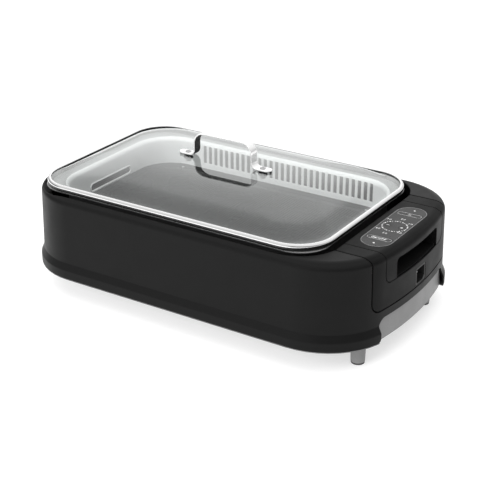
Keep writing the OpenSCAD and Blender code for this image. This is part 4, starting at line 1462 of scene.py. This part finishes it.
M = {
    "body_black": surface("body_black", grey(0.0055), 0.42, spec=0.10, grain=1900, bump=0.35, depth=0.00005, rvar=0.05, cvar=0.12),
    "frame_dark": surface("frame_dark", grey(0.030), 0.55, spec=0.35, grain=1500, bump=0.3),
    "pan_grey": surface("pan_grey", grey(0.17), 0.42, spec=0.45, grain=1400, bump=0.25),
    "foot_grey": surface("foot_grey", grey(0.20), 0.5, spec=0.4, grain=1500, bump=0.3),
    "pad_rubber": surface("pad_rubber", grey(0.055), 0.75, spec=0.3, grain=1100, bump=0.5),
    "screw_steel": surface("screw_steel", grey(0.55), 0.3, 1.0, grain=1800, bump=0.1, stretch=(1, 1, 6)),
    "fan_black": surface("fan_black", grey(0.018), 0.4, spec=0.4, grain=1600, bump=0.25),
    "motor_metal": surface("motor_metal", grey(0.38), 0.4, 1.0, grain=1500, stretch=(1, 1, 8)),
    "contact_brass": surface("contact_brass", (0.72, 0.52, 0.24), 0.28, 1.0, grain=1600),
    "contact_black": surface("contact_black", grey(0.02), 0.5, spec=0.35, grain=1300, bump=0.25),
    "drip_metal": surface("drip_metal", grey(0.56), 0.32, 1.0, grain=420, bump=0.1, stretch=(1, 7, 7), rvar=0.08),
    "cap_black": surface("cap_black", grey(0.0045), 0.45, spec=0.07, grain=1900, bump=0.35, depth=0.00005, rvar=0.05, cvar=0.12),
    "pocket_black": surface("pocket_black", grey(0.004), 0.6, spec=0.2, grain=1500, bump=0.3),
    "panel_film": surface("panel_film", grey(0.013), 0.32, spec=0.24, grain=2200, bump=0.12, depth=0.00002),
    "key_film": surface("key_film", grey(0.012), 0.33, spec=0.24, grain=2200, bump=0.12, depth=0.00002),
    "lens_white": surface("lens_white", grey(0.78), 0.35, spec=0.5, grain=1600, bump=0.1),
    "board_green": surface("board_green", (0.02, 0.10, 0.05), 0.42, spec=0.5, grain=700, bump=0.2, fleck=(0.30, 0.27, 0.12)),
    "inlet_black": surface("inlet_black", grey(0.008), 0.5, spec=0.3, grain=1700, bump=0.25),
    "pin_nickel": surface("pin_nickel", grey(0.94), 0.35, 0.4, grain=1500),
    "element_steel": surface("element_steel", (0.16, 0.15, 0.145), 0.45, 1.0, grain=900, bump=0.25, cvar=0.2),
    "bracket_steel": surface("bracket_steel", grey(0.50), 0.36, 1.0, grain=600, stretch=(7, 1, 1)),
    "terminal_ceramic": surface("terminal_ceramic", (0.78, 0.74, 0.66), 0.5, spec=0.4, grain=900, bump=0.2),
    "tray_silver": surface("tray_silver", grey(0.62), 0.32, 0.25, grain=500, bump=0.06, depth=0.00002, stretch=(1, 1, 5), rvar=0.04, cvar=0.03),
    "plate_coat": surface("plate_coat", grey(0.020), 0.26, spec=0.16, grain=1500, bump=0.12, depth=0.00002, rvar=0.05, cvar=0.12),
    "glass": clear_glass("glass"),
    "rim_steel": surface("rim_steel", grey(0.84), 0.05, 1.0, grain=700, bump=0.03, depth=0.00001, stretch=(1, 1, 8), rvar=0.03, cvar=0.02),
    "seal_black": surface("seal_black", grey(0.014), 0.6, spec=0.35, grain=1200, bump=0.3),
    "handle_steel": surface("handle_steel", grey(0.86), 0.16, 0.6, grain=800, bump=0.03, depth=0.00001, stretch=(1, 9, 1), rvar=0.03, cvar=0.02),
    # painted shade: darker copy of tray_silver for the flange's top
    "tray_flange": surface("tray_flange", grey(0.25), 0.36, 0.25, grain=500, bump=0.06, depth=0.00002, stretch=(1, 1, 5), rvar=0.04, cvar=0.03),
    # painted shade: near-black for the tray's outer and downward faces
    "tray_outside": surface("tray_outside", grey(0.03), 0.45, spec=0.3, grain=900, bump=0.1),
    # painted dark reflection on the lower half of the steel rim
    "rim_dark": surface("rim_dark", grey(0.010), 0.25, spec=0.35, grain=900, bump=0.1),
    # painted shade for the inner side of the steel strap
    "lining_black": surface("lining_black", grey(0.006), 0.35, spec=0.3, grain=1500, bump=0.2),
    "print_mid": surface("print_mid", grey(0.62), 0.5, spec=0.3, grain=1500, bump=0.1),
    "print_dim": surface("print_dim", grey(0.26), 0.5, spec=0.3, grain=1500, bump=0.1),
    "print_light": surface("print_light", grey(0.85), 0.5, spec=0.4, grain=1500, bump=0.1),
}

# ------------------------------------------------------------------ assembly
nodes = frame["nodes"]
bodies = {n: b for b, ns in frame["record"]["behaviour"]["bodies"].items() for n in ns}
node_slot = {}
for row in frame["record"]["subparts"]:
    nm, sl = row.get("node") or row.get("name"), row.get("material_slot") or row.get("slot")
    if nm and sl:
        node_slot[nm] = sl
for n, ob in nodes.items():
    sl = node_slot.get(n)
    if sl in M:
        ob.data.materials.clear()
        ob.data.materials.append(M[sl])


def put(ob, body, slot, *replaced):
    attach(ob, body)
    if replaced:
        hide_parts(*replaced)
    return ob


put(build_housing(M["body_black"]), "base", "body_black", "base_housing")
mod, cap = build_module(M["cap_black"])
put(mod, "control_module", "cap_black", "control_housing")
put(cap, "control_module", "cap_black", "control_cap")
put(build_pocket(M["pocket_black"]), "control_module", "pocket_black", "grip_pocket")
put(build_inlet(M["inlet_black"], M["pocket_black"]), "control_module", "inlet_black", "inlet_shell")
put(build_pins(M["pin_nickel"]), "control_module", "pin_nickel", "inlet_pins")
put(build_tray([M["tray_silver"], M["tray_flange"], M["tray_outside"]]), "grill_tray", "tray_silver", "tray_wall")
put(build_plate(M["plate_coat"]), "grill_tray", "plate_coat", "grill_plate")
put(build_screws("plate_screw_heads", [(WCX + a * 150, b * 114.5) for a in (-1, 1) for b in (-1, 1)], 101.4, 2.8, 1.7, M["screw_steel"]),
    "grill_tray", "screw_steel", "plate_screws")
put(build_rim([M["rim_steel"], M["rim_dark"]]), "lid", "rim_steel", "lid_rim")
put(build_seal(M["seal_black"]), "lid", "seal_black", "lid_seal")
put(build_glass(M["glass"]), "lid", "glass", "lid_glass")
put(build_strap([M["handle_steel"], M["lining_black"]]), "lid", "handle_steel", "lid_handle")
put(build_screws("handle_screw_heads", [(HCX - 58, 0), (HCX + 58, 0)], 179.7, 4.0, 1.7, M["screw_steel"]), "lid", "screw_steel", "handle_screws")
put(build_spacers(M["seal_black"]), "lid", "seal_black", "handle_washers")
put(build_nuts(M["screw_steel"]), "lid", "screw_steel", "handle_nuts")
put(build_film(M["panel_film"]), "control_module", "panel_film", "touch_panel")
put(build_key("power_pad", loop_of(outline_rr(225, PY - 41.6, 33, 9.5, 4), 3.0, 0.5), M["key_film"]), "power_button", "key_film", "power_key")
put(build_key("fan_pad", loop_of(outline_rr(225, PY + 41.6, 33, 9.5, 4), 3.0, 0.5), M["key_film"]), "fan_button", "key_film", "fan_key")
put(build_key("minus_pad", circle(225 - 9.2, PY, 4, 32), M["key_film"]), "minus_button", "key_film", "minus_key")
put(build_key("plus_pad", circle(225 + 9.2, PY, 4, 32), M["key_film"]), "plus_button", "key_film", "plus_key")
put(build_lenses(M["lens_white"]), "control_module", "lens_white", "indicator_lenses")
put(build_print([M["print_light"], M["print_dim"]]), "control_module", "lens_white")
put(build_key_print("power_print", [M["print_light"], M["print_mid"]], "power"), "power_button", "lens_white")
put(build_key_print("fan_print", [M["print_light"], M["print_mid"]], "fan"), "fan_button", "lens_white")
put(build_key_print("minus_print", M["print_light"], "minus"), "minus_button", "lens_white")
put(build_key_print("plus_print", M["print_light"], "plus"), "plus_button", "lens_white")
posts, soles = build_feet(M["foot_grey"], M["pad_rubber"])
put(posts, "base", "foot_grey", "feet")
put(soles, "base", "pad_rubber", "foot_pads")
put(build_pan_edge(M["pan_grey"]), "base", "pan_grey")

# --------------------------------------------------------- floor and lights
bpy.context.scene.view_settings.view_transform = "Standard"
bpy.context.scene.view_settings.look = "None"
fm = bpy.data.materials.new("floor")
fm.use_nodes = True
fb = fm.node_tree.nodes["Principled BSDF"]
fb.inputs["Base Color"].default_value = (0.5, 0.5, 0.5, 1)
fb.inputs["Emission Color"].default_value = (1, 1, 1, 1)
fb.inputs["Emission Strength"].default_value = 0.56
fb.inputs["Roughness"].default_value = 0.7
fb.inputs["Specular IOR Level"].default_value = 0.2
bpy.ops.mesh.primitive_plane_add(size=24, location=(0, 0, 0))
floor = bpy.context.object
floor.name = "floor"
floor.data.materials.append(fm)


def area(name, loc, size, power, aim=(0, 0, 0.08), size_y=None):
    l = bpy.data.lights.new(name, "AREA")
    l.energy = power
    l.shape = "RECTANGLE"
    l.size, l.size_y = size, size_y or size
    o = bpy.data.objects.new(name, l)
    bpy.context.scene.collection.objects.link(o)
    o.location = loc
    d = Vector(aim) - Vector(loc)
    o.rotation_euler = d.to_track_quat("-Z", "Y").to_euler()
    o.visible_glossy = False
    o.visible_transmission = False
    return o


area("top_light", (0.4, -0.8, 2.6), 3.2, 70)
area("front_fill", (-0.7, -2.6, 1.2), 1.6, 66)

world = bpy.data.worlds.new("studio")
bpy.context.scene.world = world
world.use_nodes = True
wn = world.node_tree
wn.nodes.clear()
wo = wn.nodes.new("ShaderNodeOutputWorld")
wb = wn.nodes.new("ShaderNodeBackground")
wt = wn.nodes.new("ShaderNodeTexCoord")
wd = wn.nodes.new("ShaderNodeVectorMath")
wd.operation = "DOT_PRODUCT"
wd.inputs[1].default_value = (0.0, 0.33, 0.88)
wr = wn.nodes.new("ShaderNodeMapRange")
wr.interpolation_type = "SMOOTHSTEP"
wr.inputs["From Min"].default_value, wr.inputs["From Max"].default_value = 0.0, 0.72
wr.inputs["To Min"].default_value, wr.inputs["To Max"].default_value = 0.16, 1.2
wn.links.new(wt.outputs["Generated"], wd.inputs[0])
wn.links.new(wd.outputs["Value"], wr.inputs["Value"])
wf = wn.nodes.new("ShaderNodeVectorMath")
wf.operation = "DOT_PRODUCT"
wf.inputs[1].default_value = (-0.35, -0.90, 0.25)
wq = wn.nodes.new("ShaderNodeMapRange")
wq.interpolation_type = "SMOOTHSTEP"
wq.inputs["From Min"].default_value, wq.inputs["From Max"].default_value = 0.72, 0.95
wq.inputs["To Min"].default_value, wq.inputs["To Max"].default_value = 0.0, 1.0
wm = wn.nodes.new("ShaderNodeMath")
wm.operation = "MAXIMUM"
wn.links.new(wt.outputs["Generated"], wf.inputs[0])
wn.links.new(wf.outputs["Value"], wq.inputs["Value"])
wn.links.new(wr.outputs["Result"], wm.inputs[0])
wn.links.new(wq.outputs["Result"], wm.inputs[1])
wk = wn.nodes.new("ShaderNodeVectorMath")
wk.operation = "DOT_PRODUCT"
wk.inputs[1].default_value = (-0.46, 0.76, 0.46)
wp = wn.nodes.new("ShaderNodeMapRange")
wp.interpolation_type = "SMOOTHSTEP"
wp.inputs["From Min"].default_value, wp.inputs["From Max"].default_value = 0.75, 0.95
wp.inputs["To Min"].default_value, wp.inputs["To Max"].default_value = 0.0, 1.5
wx = wn.nodes.new("ShaderNodeMath")
wx.operation = "MAXIMUM"
wn.links.new(wt.outputs["Generated"], wk.inputs[0])
wn.links.new(wk.outputs["Value"], wp.inputs["Value"])
wn.links.new(wm.outputs[0], wx.inputs[0])
wn.links.new(wp.outputs["Result"], wx.inputs[1])
# the background itself is plain white
wl = wn.nodes.new("ShaderNodeLightPath")
wc = wn.nodes.new("ShaderNodeMath")
wc.operation = "MAXIMUM"
wn.links.new(wx.outputs[0], wc.inputs[0])
wn.links.new(wl.outputs["Is Camera Ray"], wc.inputs[1])
wn.links.new(wc.outputs[0], wb.inputs["Strength"])
wn.links.new(wb.outputs[0], wo.inputs["Surface"])
